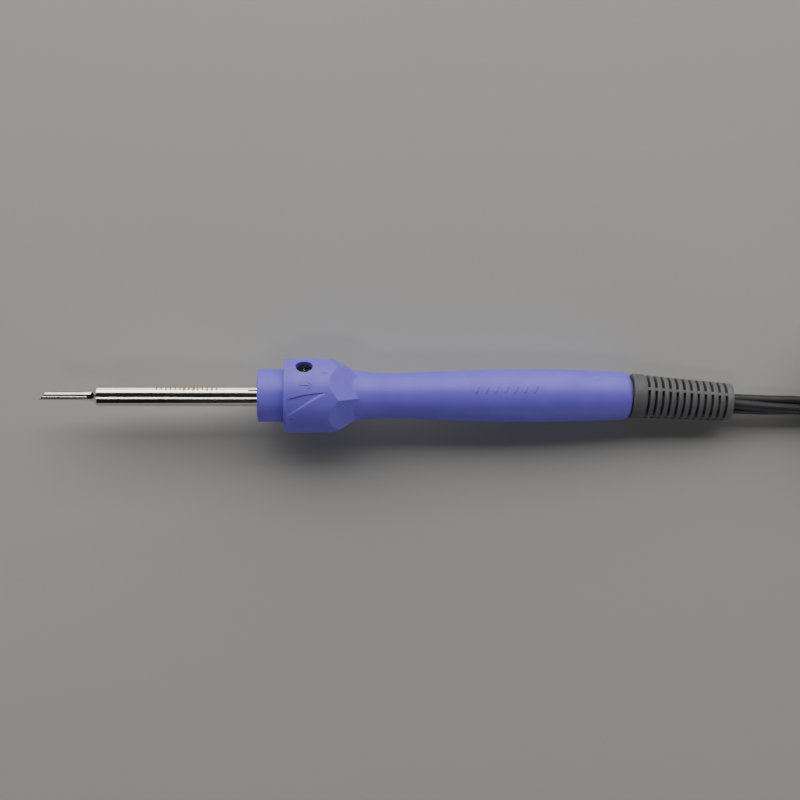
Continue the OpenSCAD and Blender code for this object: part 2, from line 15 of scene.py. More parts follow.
import bpy
import numpy as np
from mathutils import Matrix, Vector


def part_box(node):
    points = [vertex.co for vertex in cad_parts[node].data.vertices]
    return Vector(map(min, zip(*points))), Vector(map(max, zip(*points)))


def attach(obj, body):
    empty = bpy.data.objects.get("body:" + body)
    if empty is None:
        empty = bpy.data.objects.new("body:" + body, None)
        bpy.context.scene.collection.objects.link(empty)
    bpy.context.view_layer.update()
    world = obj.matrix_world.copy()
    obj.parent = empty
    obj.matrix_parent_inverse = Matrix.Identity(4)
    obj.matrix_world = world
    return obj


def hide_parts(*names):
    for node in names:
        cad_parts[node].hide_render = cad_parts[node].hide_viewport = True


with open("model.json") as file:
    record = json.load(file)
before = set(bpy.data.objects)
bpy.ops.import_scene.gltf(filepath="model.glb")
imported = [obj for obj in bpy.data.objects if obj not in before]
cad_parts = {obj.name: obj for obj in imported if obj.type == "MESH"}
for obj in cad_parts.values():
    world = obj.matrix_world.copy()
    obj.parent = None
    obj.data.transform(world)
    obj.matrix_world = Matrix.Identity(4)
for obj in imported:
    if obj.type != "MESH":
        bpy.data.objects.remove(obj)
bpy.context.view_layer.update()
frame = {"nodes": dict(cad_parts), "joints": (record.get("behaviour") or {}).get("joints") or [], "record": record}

LOG = logging.getLogger("soldering_iron")
MM = 0.001


# ---- Lines, shells and meshes ---------------------------------------------------------


@dataclass(frozen=True)
class Line:
    """A straight axis, with its own up and side, that turned pieces are made along."""

    origin: np.ndarray
    along: np.ndarray
    side: np.ndarray
    up: np.ndarray

    def place(self, station: np.ndarray, radius: np.ndarray, angle: np.ndarray) -> np.ndarray:
        """Points at stations, radii and angles: origin + s·along + r·(cos a·up + sin a·side).

        Args:
            station: Distances along the line, in mm.
            radius: Distances from the line, in mm.
            angle: Angles from up towards the side, in degrees.

        Returns:
            An array of points in metres, with one more axis than the broadcast inputs.
        """
        s, r, a = np.broadcast_arrays(station, radius, np.radians(angle))
        across = (r * np.cos(a))[..., None] * self.up + (r * np.sin(a))[..., None] * self.side
        return self.origin + MM * (s[..., None] * self.along + across)

    def lay(self, station: np.ndarray, aside: np.ndarray, above: np.ndarray) -> np.ndarray:
        """Points given by station, sideways and upward distances, all in mm."""
        return self.place(station, np.hypot(aside, above), np.degrees(np.arctan2(aside, above)))

    def span(self, node: str) -> tuple[float, float, float]:
        """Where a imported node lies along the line.

        Args:
            node: The node's name.

        Returns:
            Its first station, its last station and its greatest radius, in mm.
        """
        mesh = frame["nodes"][node].data
        flat = np.empty(len(mesh.vertices) * 3)
        mesh.vertices.foreach_get("co", flat)
        away = (flat.reshape(-1, 3) - self.origin) / MM
        station = away @ self.along
        radius = np.linalg.norm(away - station[:, None] * self.along, axis=1)
        return float(station.min()), float(station.max()), float(radius.max())


def joint(name: str) -> dict:
    """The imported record's joint of that name."""
    return next(j for j in frame["joints"] if j["name"] == name)


def mount(name: str) -> dict:
    """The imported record's mount of that name."""
    return next(m for m in frame["record"]["mounts"] if m["name"] == name)


def iron_line() -> Line:
    """The iron's own axis, with station 0 at the point of the bit.

    Returns:
        A line that runs from the bit towards the lead.
    """
    along = -np.array(joint("tip_slide")["axis"], float)
    along /= np.linalg.norm(along)
    side = np.array([0.0, 1.0, 0.0])
    up = np.cross(along, side)
    start = np.array(mount("tip_shaft")["pos_m"], float)
    first = Line(start, along, side, up).span("tip_bit")[0]
    return Line(start + MM * first * along, along, side, up)


def screw_line() -> Line:
    """The clamp screw's axis: station 0 is on the iron's axis, and stations grow outwards."""
    turn = joint("clamp_screw_turn")
    along = np.array(turn["axis"], float)
    along /= np.linalg.norm(along)
    seat = np.array(turn["pos_m"], float)
    reach = float((seat - IRON.origin) @ IRON.along)
    on_iron = IRON.origin + reach * IRON.along
    off = float((seat - on_iron) @ along)
    side = IRON.along
    return Line(seat - off * along, along, side, np.cross(side, along))


IRON = iron_line()


class Ends(Enum):
    """How a shell's rings are closed."""

    POLES = "each end ring is drawn to a point in its middle"
    RING = "the last ring joins the first"


def quads(rings: int, columns: int, ends: Ends) -> np.ndarray:
    """Corner numbers of the four-sided faces between rings: columns always wrap round."""
    last = rings if ends is Ends.RING else rings - 1
    i, j = np.arange(last)[:, None], np.arange(columns)[None, :]
    after, beside = (i + 1) % rings, (j + 1) % columns
    return np.stack(np.broadcast_arrays(i * columns + j, i * columns + beside,
        after * columns + beside, after * columns + j), -1).reshape(-1, 4)


def make_piece(name: str, shells: np.ndarray, body: str, ends: Ends = Ends.POLES,
               sharp: float = 38.0) -> bpy.types.Object:
    """Makes one piece out of closed shells and lets it ride on a body.

    A shell is a grid of rings. Neighbouring rings are joined by quads and, with poles, each end
    ring is closed by a fan to its mean point. A shell whose signed volume, the sum of
    a·(b×c)/6 over its triangles, is negative has its faces turned round.

    Args:
        name: The object's name.
        shells: Points in metres, as (shell, ring, column, 3) or (ring, column, 3).
        body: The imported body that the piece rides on.
        ends: How the rings are closed.
        sharp: The angle in degrees past which an edge is shaded sharp.

    Returns:
        The new object.
    """
    if shells.ndim == 3:
        shells = shells[None]
    count, rings, columns = shells.shape[:3]
    each = rings * columns + (2 if ends is Ends.POLES else 0)
    points, faces = [], []
    for k in range(count):
        grid = shells[k].reshape(-1, 3)
        four = quads(rings, columns, ends)
        three = np.empty((0, 3), int)
        if ends is Ends.POLES:
            j = np.arange(columns)
            beside = (j + 1) % columns
            base = (rings - 1) * columns
            top, foot = np.full(columns, rings * columns), np.full(columns, rings * columns + 1)
            three = np.vstack([np.stack([top, beside, j], -1),
                               np.stack([foot, base + j, base + beside], -1)])
            grid = np.vstack([grid, shells[k, 0].mean(0), shells[k, -1].mean(0)])
        middle = grid - grid.mean(0)
        tris = np.vstack([four[:, [0, 1, 2]], four[:, [0, 2, 3]], three])
        a, b, c = middle[tris[:, 0]], middle[tris[:, 1]], middle[tris[:, 2]]
        if np.einsum("ij,ij->", a, np.cross(b, c)) < 0:
            four, three = four[:, ::-1], three[:, ::-1]
        points.append(grid)
        faces += (four + k * each).tolist() + (three + k * each).tolist()
    mesh = bpy.data.meshes.new(name)
    mesh.from_pydata(np.vstack(points).tolist(), [], faces)
    mesh.shade_smooth()
    mesh.set_sharp_from_angle(angle=math.radians(sharp))
    piece = bpy.data.objects.new(name, mesh)
    bpy.context.scene.collection.objects.link(piece)
    if body:
        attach(piece, body)
    return piece


def cut(piece: bpy.types.Object, cutter: bpy.types.Object, sharp: float = 38.0) -> None:
    """Takes the cutter's volume out of a piece for good, and removes the cutter."""
    tool = piece.modifiers.new("cut", "BOOLEAN")
    tool.operation, tool.solver, tool.object = "DIFFERENCE", "EXACT", cutter
    graph = bpy.context.evaluated_depsgraph_get()
    cleaned = bpy.data.meshes.new_from_object(piece.evaluated_get(graph))
    piece.modifiers.clear()
    piece.data = cleaned
    cleaned.shade_smooth()
    cleaned.set_sharp_from_angle(angle=math.radians(sharp))
    bpy.data.objects.remove(cutter)


def ease(t: np.ndarray) -> np.ndarray:
    """A smooth step from 0 to 1: t²(3 − 2t), held flat outside."""
    t = np.clip(t, 0.0, 1.0)
    return t * t * (3 - 2 * t)


def blend(a: np.ndarray, b: np.ndarray, t: np.ndarray) -> np.ndarray:
    """a + (b − a)·t."""
    return a + (b - a) * t


def superellipse(angle: np.ndarray, power: float) -> tuple[np.ndarray, np.ndarray]:
    """The unit curve |x|ᵖ + |y|ᵖ = 1, as x and y at each angle in radians."""
    x, y = np.cos(angle), np.sin(angle)
    return np.sign(x) * np.abs(x) ** (2 / power), np.sign(y) * np.abs(y) ** (2 / power)


def turned(line: Line, outline: list[tuple[float, float]], columns: int = 96) -> np.ndarray:
    """A revolved outline: every point [station, radius] becomes a ring round the line."""
    profile = np.array(outline, float)
    angle = np.linspace(0, 360, columns, endpoint=False)[None, :]
    return line.place(profile[:, :1], profile[:, 1:], angle)


def rounded(outline: list[tuple[float, float, float]], steps: int = 5) -> list[tuple[float, float]]:
    """Rounds the corners of an outline of [station, radius, fillet] points.

    A corner P with neighbours A and B becomes the quadratic curve
    (1−t)²·P₁ + 2t(1−t)·P + t²·P₂, where P₁ and P₂ lie on the two sides, a fillet away from P.

    Args:
        outline: Points with the fillet at each, in mm; a fillet of 0 keeps the corner.
        steps: How many points replace a rounded corner, less one.

    Returns:
        The outline's points, in order.
    """
    path = np.array([p[:2] for p in outline], float)
    made: list[tuple[float, float]] = []
    for i, (s, r, fillet) in enumerate(outline):
        if fillet == 0 or i in (0, len(outline) - 1):
            made.append((s, r))
            continue
        here = path[i]
        back, onward = path[i - 1] - here, path[i + 1] - here
        p1 = here + back / np.linalg.norm(back) * fillet
        p2 = here + onward / np.linalg.norm(onward) * fillet
        t = np.linspace(0, 1, steps + 1)[:, None]
        curve = (1 - t) ** 2 * p1 + 2 * t * (1 - t) * here + t ** 2 * p2
        made += [tuple(p) for p in curve.tolist()]
    return made


def smooth_line(points: np.ndarray, step: float) -> np.ndarray:
    """A smooth line through points, sampled at even steps.

    Between two points it is the cubic Hermite curve whose slopes are the central differences
    over the chord length: h₀₀p₀ + h₁₀Δm₀ + h₀₁p₁ + h₁₁Δm₁.

    Args:
        points: The points, as (n, 3).
        step: The distance between samples, in the points' own unit.

    Returns:
        The samples, as (m, 3).
    """
    chord = np.concatenate([[0], np.cumsum(np.linalg.norm(np.diff(points, axis=0), axis=1))])
    slope = np.gradient(points, chord, axis=0)
    at = np.linspace(0, chord[-1], int(chord[-1] / step) + 1)
    i = np.clip(np.searchsorted(chord, at, side="right") - 1, 0, len(points) - 2)
    width = (chord[i + 1] - chord[i])[:, None]
    t = ((at - chord[i]) / width[:, 0])[:, None]
    return ((2 * t ** 3 - 3 * t ** 2 + 1) * points[i] + (t ** 3 - 2 * t ** 2 + t) * width * slope[i]
            + (3 * t ** 2 - 2 * t ** 3) * points[i + 1] + (t ** 3 - t ** 2) * width * slope[i + 1])


# ---- Finishes --------------------------------------------------------------------------


def linear(colour: str) -> tuple[float, float, float, float]:
    """Turns an sRGB hex colour into Blender's linear colour, with full alpha."""
    parts = [int(colour[i:i + 2], 16) / 255 for i in (1, 3, 5)]
    bright = [c / 12.92 if c <= 0.04045 else ((c + 0.055) / 1.055) ** 2.4 for c in parts]
    return (*bright, 1.0)


def add_node(tree: bpy.types.NodeTree, kind: str, settings: dict | None = None,
             inputs: dict | None = None) -> bpy.types.Node:
    """Adds a shader node with its settings and inputs.

    Args:
        tree: The material's node tree.
        kind: The node's type name.
        settings: Properties set on the node itself.
        inputs: Sockets by name or number, each given a constant or an output to link from.

    Returns:
        The new node.
    """
    node = tree.nodes.new(kind)
    for key, value in (settings or {}).items():
        setattr(node, key, value)
    for key, value in (inputs or {}).items():
        if isinstance(value, bpy.types.NodeSocket):
            tree.links.new(value, node.inputs[key])
        else:
            node.inputs[key].default_value = value
    return node


@dataclass(frozen=True)
class Finish:
    """A real material and how its surface was made, with its pattern sizes in millimetres."""

    name: str
    colour: str
    tone: str                 # the second colour, which comes in soft patches
    patch: float              # mm across a patch of the second colour
    roughness: float
    rough_spread: float       # how far the roughness strays either way
    grain: float              # mm from one bump of the surface to the next
    grain_height: float       # mm
    metallic: float = 0.0
    ior: float | None = None  # None keeps the shader's own
    coat: float = 0.0
    stretch: tuple[float, float, float] = (1.0, 1.0, 1.0)
    tone_share: float = 0.5
    wear: str = ""            # the colour of rubbed edges, where there are any
    subsurface: float = 0.0

    def mottle(self, tree: bpy.types.NodeTree, where: bpy.types.NodeSocket, size: float,
               low: float, high: float, detail: float = 4.0) -> bpy.types.NodeSocket:
        """A soft random pattern of the given size, mapped from low to high.

        Args:
            tree: The material's node tree.
            where: The coordinates to read.
            size: Millimetres from one spot to the next.
            low: The value in the darkest spots.
            high: The value in the brightest spots.
            detail: How many finer octaves the pattern has.

        Returns:
            The output that carries the value.
        """
        noise = add_node(tree, "ShaderNodeTexNoise", {}, {
            "Vector": where, "Scale": 1 / (size * MM), "Detail": detail, "Roughness": 0.55})
        ranged = add_node(tree, "ShaderNodeMapRange", {"interpolation_type": "SMOOTHSTEP"}, {
            "Value": noise.outputs["Fac"], "From Min": 0.32, "From Max": 0.68,
            "To Min": low, "To Max": high})
        return ranged.outputs["Result"]

    def paint(self, tree: bpy.types.NodeTree, where: bpy.types.NodeSocket) -> bpy.types.NodeSocket:
        """The surface's colour: the first colour, patches of the second, and rubbed edges."""
        share = self.mottle(tree, where, self.patch, 0.0, self.tone_share)
        mixed = add_node(tree, "ShaderNodeMix", {"data_type": "RGBA"}, {
            "Factor": share, 6: linear(self.colour), 7: linear(self.tone)})
        if not self.wear:
            return mixed.outputs[2]
        shape = add_node(tree, "ShaderNodeNewGeometry")
        edge = add_node(tree, "ShaderNodeMapRange", {}, {
            "Value": shape.outputs["Pointiness"], "From Min": 0.52, "From Max": 0.60,
            "To Min": 0.0, "To Max": 0.6})
        rubbed = add_node(tree, "ShaderNodeMix", {"data_type": "RGBA"}, {
            "Factor": edge.outputs["Result"], 6: mixed.outputs[2], 7: linear(self.wear)})
        return rubbed.outputs[2]

    def relief(self, tree: bpy.types.NodeTree,
               where: bpy.types.NodeSocket) -> bpy.types.NodeSocket:
        """The surface's normal: its grain, and a long soft unevenness under it."""
        wave = self.mottle(tree, where, self.patch, 0.0, 1.0, 1.0)
        slow = add_node(tree, "ShaderNodeBump", {}, {
            "Height": wave, "Strength": 0.25, "Distance": self.grain_height * MM})
        grain = self.mottle(tree, where, self.grain, 0.0, 1.0, 3.0)
        fine = add_node(tree, "ShaderNodeBump", {}, {
            "Height": grain, "Strength": 0.8, "Distance": self.grain_height * MM,
            "Normal": slow.outputs["Normal"]})
        return fine.outputs["Normal"]

    def build(self) -> bpy.types.Material:
        """Makes the material's nodes.

        Returns:
            The finished material.
        """
        material = bpy.data.materials.new(self.name)
        material.use_nodes = True
        tree = material.node_tree
        tree.nodes.clear()
        read = add_node(tree, "ShaderNodeTexCoord")
        where = add_node(tree, "ShaderNodeMapping", {}, {
            "Vector": read.outputs["Object"], "Scale": self.stretch}).outputs["Vector"]
        rough = self.mottle(tree, where, self.patch * 0.4,
                            max(self.roughness - self.rough_spread, 0.02),
                            min(self.roughness + self.rough_spread, 1.0), 6.0)
        shader = add_node(tree, "ShaderNodeBsdfPrincipled", {}, {
            "Base Color": self.paint(tree, where), "Metallic": self.metallic,
            "Roughness": rough, "Normal": self.relief(tree, where),
            "Coat Weight": self.coat, "Subsurface Weight": self.subsurface})
        shader.inputs["Subsurface Scale"].default_value = 0.5 * MM
        if self.ior:
            shader.inputs["IOR"].default_value = self.ior
        add_node(tree, "ShaderNodeOutputMaterial", {}, {"Surface": shader.outputs["BSDF"]})
        return material


@dataclass(frozen=True)
class Banded(Finish):
    """A finish with fine even bands across the line it lies along, such as threads or turns."""

    pitch: float = 1.0            # mm from band to band
    band_depth: float = 0.1       # mm
    axis: str = "X"               # the axis that the bands are spaced along
    second_axis: str = ""         # a second set of bands, which makes a weave

    def relief(self, tree: bpy.types.NodeTree,
               where: bpy.types.NodeSocket) -> bpy.types.NodeSocket:
        """The bands' normal, over the plain finish's grain."""
        under = super().relief(tree, where)
        for axis in (self.axis, self.second_axis):
            if not axis:
                continue
            wave = add_node(tree, "ShaderNodeTexWave", {
                "wave_type": "BANDS", "bands_direction": axis, "wave_profile": "SIN"}, {
                "Vector": where, "Scale": 2 * math.pi / (self.pitch * MM) / 20,
                "Distortion": 0.6, "Detail": 1.0, "Detail Scale": 2.0})
            under = add_node(tree, "ShaderNodeBump", {}, {
                "Height": wave.outputs["Fac"], "Strength": 0.7,
                "Distance": self.band_depth * MM, "Normal": under}).outputs["Normal"]
        return under


# Moulded ABS from a spark-eroded mould: blue-violet, a soft satin with a fine even grain
HANDLE_ABS = Finish("moulded_abs_blue_violet", "#6a5dd4", "#7366dd", 9.0, 0.5, 0.07, 0.35, 0.012,
                    ior=1.53, wear="#7a76d0", subsurface=0.04)
# Iron electroplated on copper: a dull bright grey with a faint drawn grain along the rod
IRON_PLATE = Finish("plated_iron", "#d8d8d6", "#c2bfb9", 2.2, 0.22, 0.05, 0.2, 0.0006,
                    metallic=1.0, stretch=(0.25, 1.0, 1.0))
# Stainless tube, drawn and polished: mirror-like, with fine lengthwise draw lines
STAINLESS = Finish("polished_stainless", "#efece4", "#e2ddd0", 5.0, 0.16, 0.04, 0.12, 0.0008,
                   metallic=1.0, stretch=(0.08, 1.0, 1.0))
# Laser-etched stainless: the heat leaves a gold-brown, duller skin
ETCHED = Finish("etched_stainless", "#a8895a", "#86673a", 0.5, 0.45, 0.08, 0.08, 0.003,
                metallic=0.6)
# Fired steatite: off-white, dense and faintly glossy
CERAMIC = Finish("fired_steatite", "#ece5d6", "#ddd2bd", 3.0, 0.38, 0.08, 0.15, 0.01, ior=1.6)
# Drawn nichrome wire: dull grey after its first heat
NICHROME = Finish("oxidised_nichrome", "#8b857c", "#6a655f", 0.8, 0.42, 0.08, 0.08, 0.004,
                  metallic=1.0)
# Split mica sheet: silvery brown, in glossy flakes
MICA = Finish("split_mica", "#b6a585", "#8f7d5d", 2.4, 0.22, 0.1, 0.6, 0.02, ior=1.58, coat=0.4)
# Drawn steel sheath, blued by heat in patches
SHEATH = Finish("heat_tinted_steel", "#98928a", "#6d6a7c", 7.0, 0.3, 0.08, 0.15, 0.004,
                metallic=1.0, stretch=(0.3, 1.0, 1.0), tone_share=0.8)
# Drawn nickel lead wire: warm grey and smooth
NICKEL = Finish("drawn_nickel", "#c5bfb3", "#a8a196", 1.0, 0.28, 0.06, 0.1, 0.003, metallic=1.0)
# Braided glass-fibre sleeve: off-white threads with a resin sheen
GLASS_BRAID = Banded("braided_glass_fibre", "#e6e2d3", "#d2cbb5", 1.6, 0.62, 0.08, 0.2, 0.02,
                     pitch=0.5, band_depth=0.08, second_axis="DIAGONAL")
# Turned free-cutting brass: fine tool marks round the axis
BRASS = Banded("turned_brass", "#c7a04c", "#a9833a", 3.0, 0.24, 0.07, 0.12, 0.003, metallic=1.0,
               pitch=0.35, band_depth=0.006)
# Recovered shrink tube: black, satin, a little wrinkled
SHRINK = Finish("recovered_shrink_tube", "#2a2a2c", "#37373a", 1.5, 0.5, 0.08, 0.5, 0.03, ior=1.48)
# Blackened steel screw: oil-black oxide, bright where the driver has rubbed it
BLACK_OXIDE = Finish("black_oxide_steel", "#121315", "#1d1e21", 0.9, 0.3, 0.1, 0.12, 0.006,
                     metallic=0.75, wear="#8d8f94")
# Stranded annealed copper: fine bright strands that lie along the core
COPPER = Banded("stranded_copper", "#b5703a", "#8f5228", 0.8, 0.3, 0.08, 0.1, 0.004,
                metallic=1.0, pitch=0.3, band_depth=0.04, axis="DIAGONAL")
# Extruded silicone rubber: charcoal, dull, with a faint bloom of talc
SILICONE = Finish("extruded_silicone_rubber", "#26272a", "#303135", 7.0, 0.52, 0.08, 0.3, 0.008,
                  ior=1.41, stretch=(0.6, 1.0, 1.0))
# Moulded thermoplastic rubber: mid grey with a matt, slightly dusty skin
RELIEF_TPE = Finish("moulded_tpe_grey", "#515255", "#5f6063", 3.0, 0.6, 0.08, 0.25, 0.014,
                    ior=1.5, wear="#8a8b8e")
# Zinc-plated crimp: bright grey, scuffed by the tool
ZINC = Finish("zinc_plated_steel", "#b3b6b8", "#8f9396", 1.4, 0.32, 0.1, 0.2, 0.006,
              metallic=1.0)
# Woven polyamide strap: black threads at a 0.7 mm pitch, drawn as coarse as it needs to show
STRAP = Banded("woven_polyamide", "#1b1c1f", "#2b2c31", 1.2, 0.78, 0.08, 0.3, 0.03,
               pitch=0.7, band_depth=0.12, second_axis="Z")
# Injection-moulded PVC: black-grey, softly pebbled
PLUG_PVC = Finish("moulded_pvc_charcoal", "#222326", "#2d2e32", 6.0, 0.44, 0.07, 0.6, 0.03,
                  ior=1.54, wear="#45464b")
# Stamped nickel-plated brass: pale gold, polished faces with stamping lines
PIN_BRASS = Finish("nickel_plated_brass", "#d3c493", "#b9a66e", 3.0, 0.2, 0.07, 0.2, 0.004,
                   metallic=1.0, stretch=(0.2, 1.0, 1.0))
# Painted studio board: pale grey and quite even
STUDIO_BOARD = Finish("painted_board", "#a6a6a4", "#a2a2a0", 260.0, 0.85, 0.03, 1.2, 0.01,
                      tone_share=0.4)


class Paintbox:
    """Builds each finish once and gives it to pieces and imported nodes."""

    def __init__(self) -> None:
        """Starts with no finish built."""
        self.made: dict[str, bpy.types.Material] = {}

    def dress(self, thing: bpy.types.Object, finish: Finish) -> bpy.types.Object:
        """Puts a finish on every material slot of an object.

        Args:
            thing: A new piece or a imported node's object.
            finish: The finish that it gets.

        Returns:
            The same object.
        """
        if finish.name not in self.made:
            self.made[finish.name] = finish.build()
        material = self.made[finish.name]
        if not thing.material_slots:
            thing.data.materials.append(material)
        for held in thing.material_slots:
            held.material = material
        return thing


PAINT = Paintbox()


# ---- Studio ----------------------------------------------------------------------------


@dataclass
class Studio:
    """The floor, the camera over the iron and the soft lights round it."""

    camera_at: tuple[float, float, float] = (2.8, -1.2, 334.0)
    lens: float = 54.0
    floor_drop: float = 0.1       # mm under the lowest touching point
    floor_half: float = 2500.0
    back_power: float = 15.4
    low_power: float = 5.2
    tip_power: float = 0.76
    front_power: float = 2.6
    room_glow: float = 0.015

    def camera(self) -> bpy.types.Object:
        """Makes the camera, straight above the iron with the bit to its left."""
        data = bpy.data.cameras.new("camera")
        data.lens = self.lens
        data.sensor_width = 36.0
        data.clip_start, data.clip_end = 0.01, 20.0
        camera = bpy.data.objects.new("camera", data)
        camera.location = Vector(self.camera_at) * MM
        bpy.context.scene.collection.objects.link(camera)
        bpy.context.scene.camera = camera
        return camera

    def panel(self, name: str, elevation: float, azimuth: float, far: float,
              size: tuple[float, float], power: float, colour: str) -> bpy.types.Object:
        """One soft light panel that faces the iron.

        Args:
            name: The light's name.
            elevation: Degrees above the floor, as seen from the iron.
            azimuth: Degrees from +X towards +Y.
            far: Metres from the iron.
            size: Width and height in metres.
            power: Watts.
            colour: Its sRGB colour.

        Returns:
            The light's object.
        """
        data = bpy.data.lights.new(name, "AREA")
        data.shape, data.size, data.size_y = "RECTANGLE", size[0], size[1]
        data.energy = power
        data.color = linear(colour)[:3]
        light = bpy.data.objects.new(name, data)
        up, turn = math.radians(elevation), math.radians(azimuth)
        away = Vector((math.cos(up) * math.cos(turn), math.cos(up) * math.sin(turn), math.sin(up)))
        light.location = away * far
        light.rotation_euler = away.to_track_quat("Z", "Y").to_euler()
        bpy.context.scene.collection.objects.link(light)
        return light

    def lights(self) -> None:
        """Two wide panels behind the iron, a small one over its tip, a weak one in front."""
        self.panel("back_panel", 41, 90, 0.9, (2.4, 0.54), self.back_power, "#fffcf8")
        self.panel("low_panel", 11, 90, 0.9, (2.4, 0.3), self.low_power, "#fffcf8")
        self.panel("tip_panel", 60, -114, 0.9, (0.32, 0.15), self.tip_power, "#fdfcfa")
        self.panel("front_panel", 9, -66, 1.2, (0.9, 0.34), self.front_power, "#f6f4ff")
        world = bpy.data.worlds.new("room")
        world.use_nodes = True
        glow = world.node_tree.nodes["Background"]
        glow.inputs["Color"].default_value = linear("#b9bcc2")
        glow.inputs["Strength"].default_value = self.room_glow
        bpy.context.scene.world = world

    def floor(self) -> bpy.types.Object:
        """A wide flat board under the iron, as a closed slab of four corners a ring."""
        half, drop = self.floor_half * MM, self.floor_drop * MM
        corner = np.array([[-half, -half], [half, -half], [half, half], [-half, half]])
        depth = np.array([-drop, -drop - 5 * MM])
        slab = np.concatenate([np.broadcast_to(corner, (2, 4, 2)),
            np.broadcast_to(depth[:, None, None], (2, 4, 1))], axis=-1)
        board = make_piece("floor", slab, "")
        return PAINT.dress(board, STUDIO_BOARD)


# ---- Lead, tie and plug -----------------------------------------------------------------


# The lead's chosen route, in metres: from the strain relief to the hank, and from it to the plug
RUN = [(0.0929, -0.0022, 0.0051), (0.0965, -0.0024, 0.0049), (0.1, -0.0026, 0.0046),
       (0.104, -0.0028, 0.0041), (0.108, -0.0029, 0.0036), (0.112, -0.003, 0.0032),
       (0.116, -0.0034, 0.003), (0.12, -0.0041, 0.00295), (0.125, -0.0055, 0.00295),
       (0.13, -0.0067, 0.00295), (0.134, -0.0072, 0.00295)]
TAIL = [(0.267, -0.0044, 0.0144), (0.271, -0.0042, 0.0144), (0.275, -0.0029, 0.014),
        (0.2785, -0.0005, 0.0133), (0.2815, 0.0018, 0.0126), (0.284, 0.0032, 0.0121),
        (0.286, 0.0035, 0.012)]


@dataclass
class Hank:
    """The folded rest of the lead: four turns and a last run, drawn in to a waist by the tie."""

    lead: float = 5.8             # distance between neighbouring turns
    low: float = 2.9              # height of the bottom layer's middle
    inner: float = 12.0           # radius of the inner turns at the round ends
    waist_in: float = 9.1         # how far the runs are drawn in at the tie
    waist_reach: float = 50.0
    tie_lift: float = 1.05        # the strap's thickness under the turns
    lift_reach: float = 24.0

    def __post_init__(self) -> None:
        """Reads the hank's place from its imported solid."""
        low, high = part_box("cord_hank")
        self.middle_y = (low.y + high.y) / 2 / MM
        self.middle_x = (low.x + high.x) / 2 / MM
        reach = (high.y - low.y) / 2 / MM
        self.ends = (low.x / MM + reach, high.x / MM - reach)

    def drawn_in(self, x: np.ndarray, offset: np.ndarray, height: np.ndarray) -> np.ndarray:
        """Points of a run: its offset shrinks by waist_in·cos² towards the tie.

        Args:
            x: Places along X.
            offset: Signed distance from the hank's middle line, far from the tie.
            height: Height of the run's middle.

        Returns:
            The points, as (n, 3), in mm.
        """
        bell = np.cos(np.pi / 2 * np.clip((x - self.middle_x) / self.waist_reach, -1, 1)) ** 2
        rise = np.cos(np.pi / 2 * np.clip((x - self.middle_x) / self.lift_reach, -1, 1)) ** 2
        y = self.middle_y + offset - np.sign(offset) * self.waist_in * bell
        return np.stack([x, y, height + self.tie_lift * rise], -1)

    def turn(self, end: int, start: float, radius: np.ndarray, height: np.ndarray) -> np.ndarray:
        """Half a turn round one end, from the start angle anticlockwise, in mm."""
        angle = np.radians(start + np.linspace(0, 180, len(radius)))
        return np.stack([self.ends[end] + radius * np.cos(angle),
            self.middle_y + radius * np.sin(angle), height], -1)

    def points(self) -> np.ndarray:
        """The route of the whole hank.

        At the near end each turn rolls round its neighbour, so that their middles stay a lead
        apart. With b easing from 0 to 90°: the first moves in by lead·(1 − cos b), the second
        climbs by lead·sin b, the third moves out by lead·sin b and stays lead·cos b above the
        second, and the fourth rolls over the third through 120°.

        Returns:
            The points, as (n, 3), in mm.
        """
        d, low, inner = self.lead, self.low, self.inner
        b = np.pi / 2 * ease(np.linspace(0, 1, 25))
        over = 4 / 3 * b
        third = (inner + d * np.sin(b), low + d * (np.sin(b) + np.cos(b)))
        near = [(inner + d * np.cos(b), np.full(25, low)), (np.full(25, inner), low + d * np.sin(b)),
                third, (third[0] + d * np.cos(over), third[1] + d * np.sin(over))]
        far_x = np.linspace(self.ends[0], self.ends[1], 27)[1:-1]
        made = []
        for (radius, height), near_arc in zip(
                [(inner + d, low), (inner, low), (inner, low + d), (inner + d, low + d)], near):
            flat = np.full(25, height)
            wide = np.full(25, radius)
            made += [self.drawn_in(far_x, -wide, flat), self.turn(1, -90, wide, flat),
                     self.drawn_in(far_x[::-1], wide, flat), self.turn(0, 90, *near_arc)]
        last_x = np.linspace(self.ends[0], TAIL[0][0] / MM, 30)[1:-1]
        climb = 0.8 * ease((last_x - self.ends[1] + 14) / 16)
        made.append(self.drawn_in(last_x, np.full(28, -(inner + d / 2)),
            low + self.nested() + climb))
        return np.vstack(made)

    def nested(self) -> float:
        """Height of the last run, which lies in the groove over the upper layer, above the first."""
        return self.lead * (1 + math.sin(math.radians(120)))

    def waist(self) -> np.ndarray:
        """Middles of the nine runs that pass through the tie, as [y, z] in mm."""
        d, low, inner = self.lead, self.low + self.tie_lift, self.inner - self.waist_in
        half = [(inner, low), (inner + d, low), (inner, low + d), (inner + d, low + d)]
        both = [(side * y, z) for side in (-1, 1) for y, z in half]
        both.append((-(inner + d / 2), low + self.nested()))
        return np.array(both) + np.array([self.middle_y, 0.0])


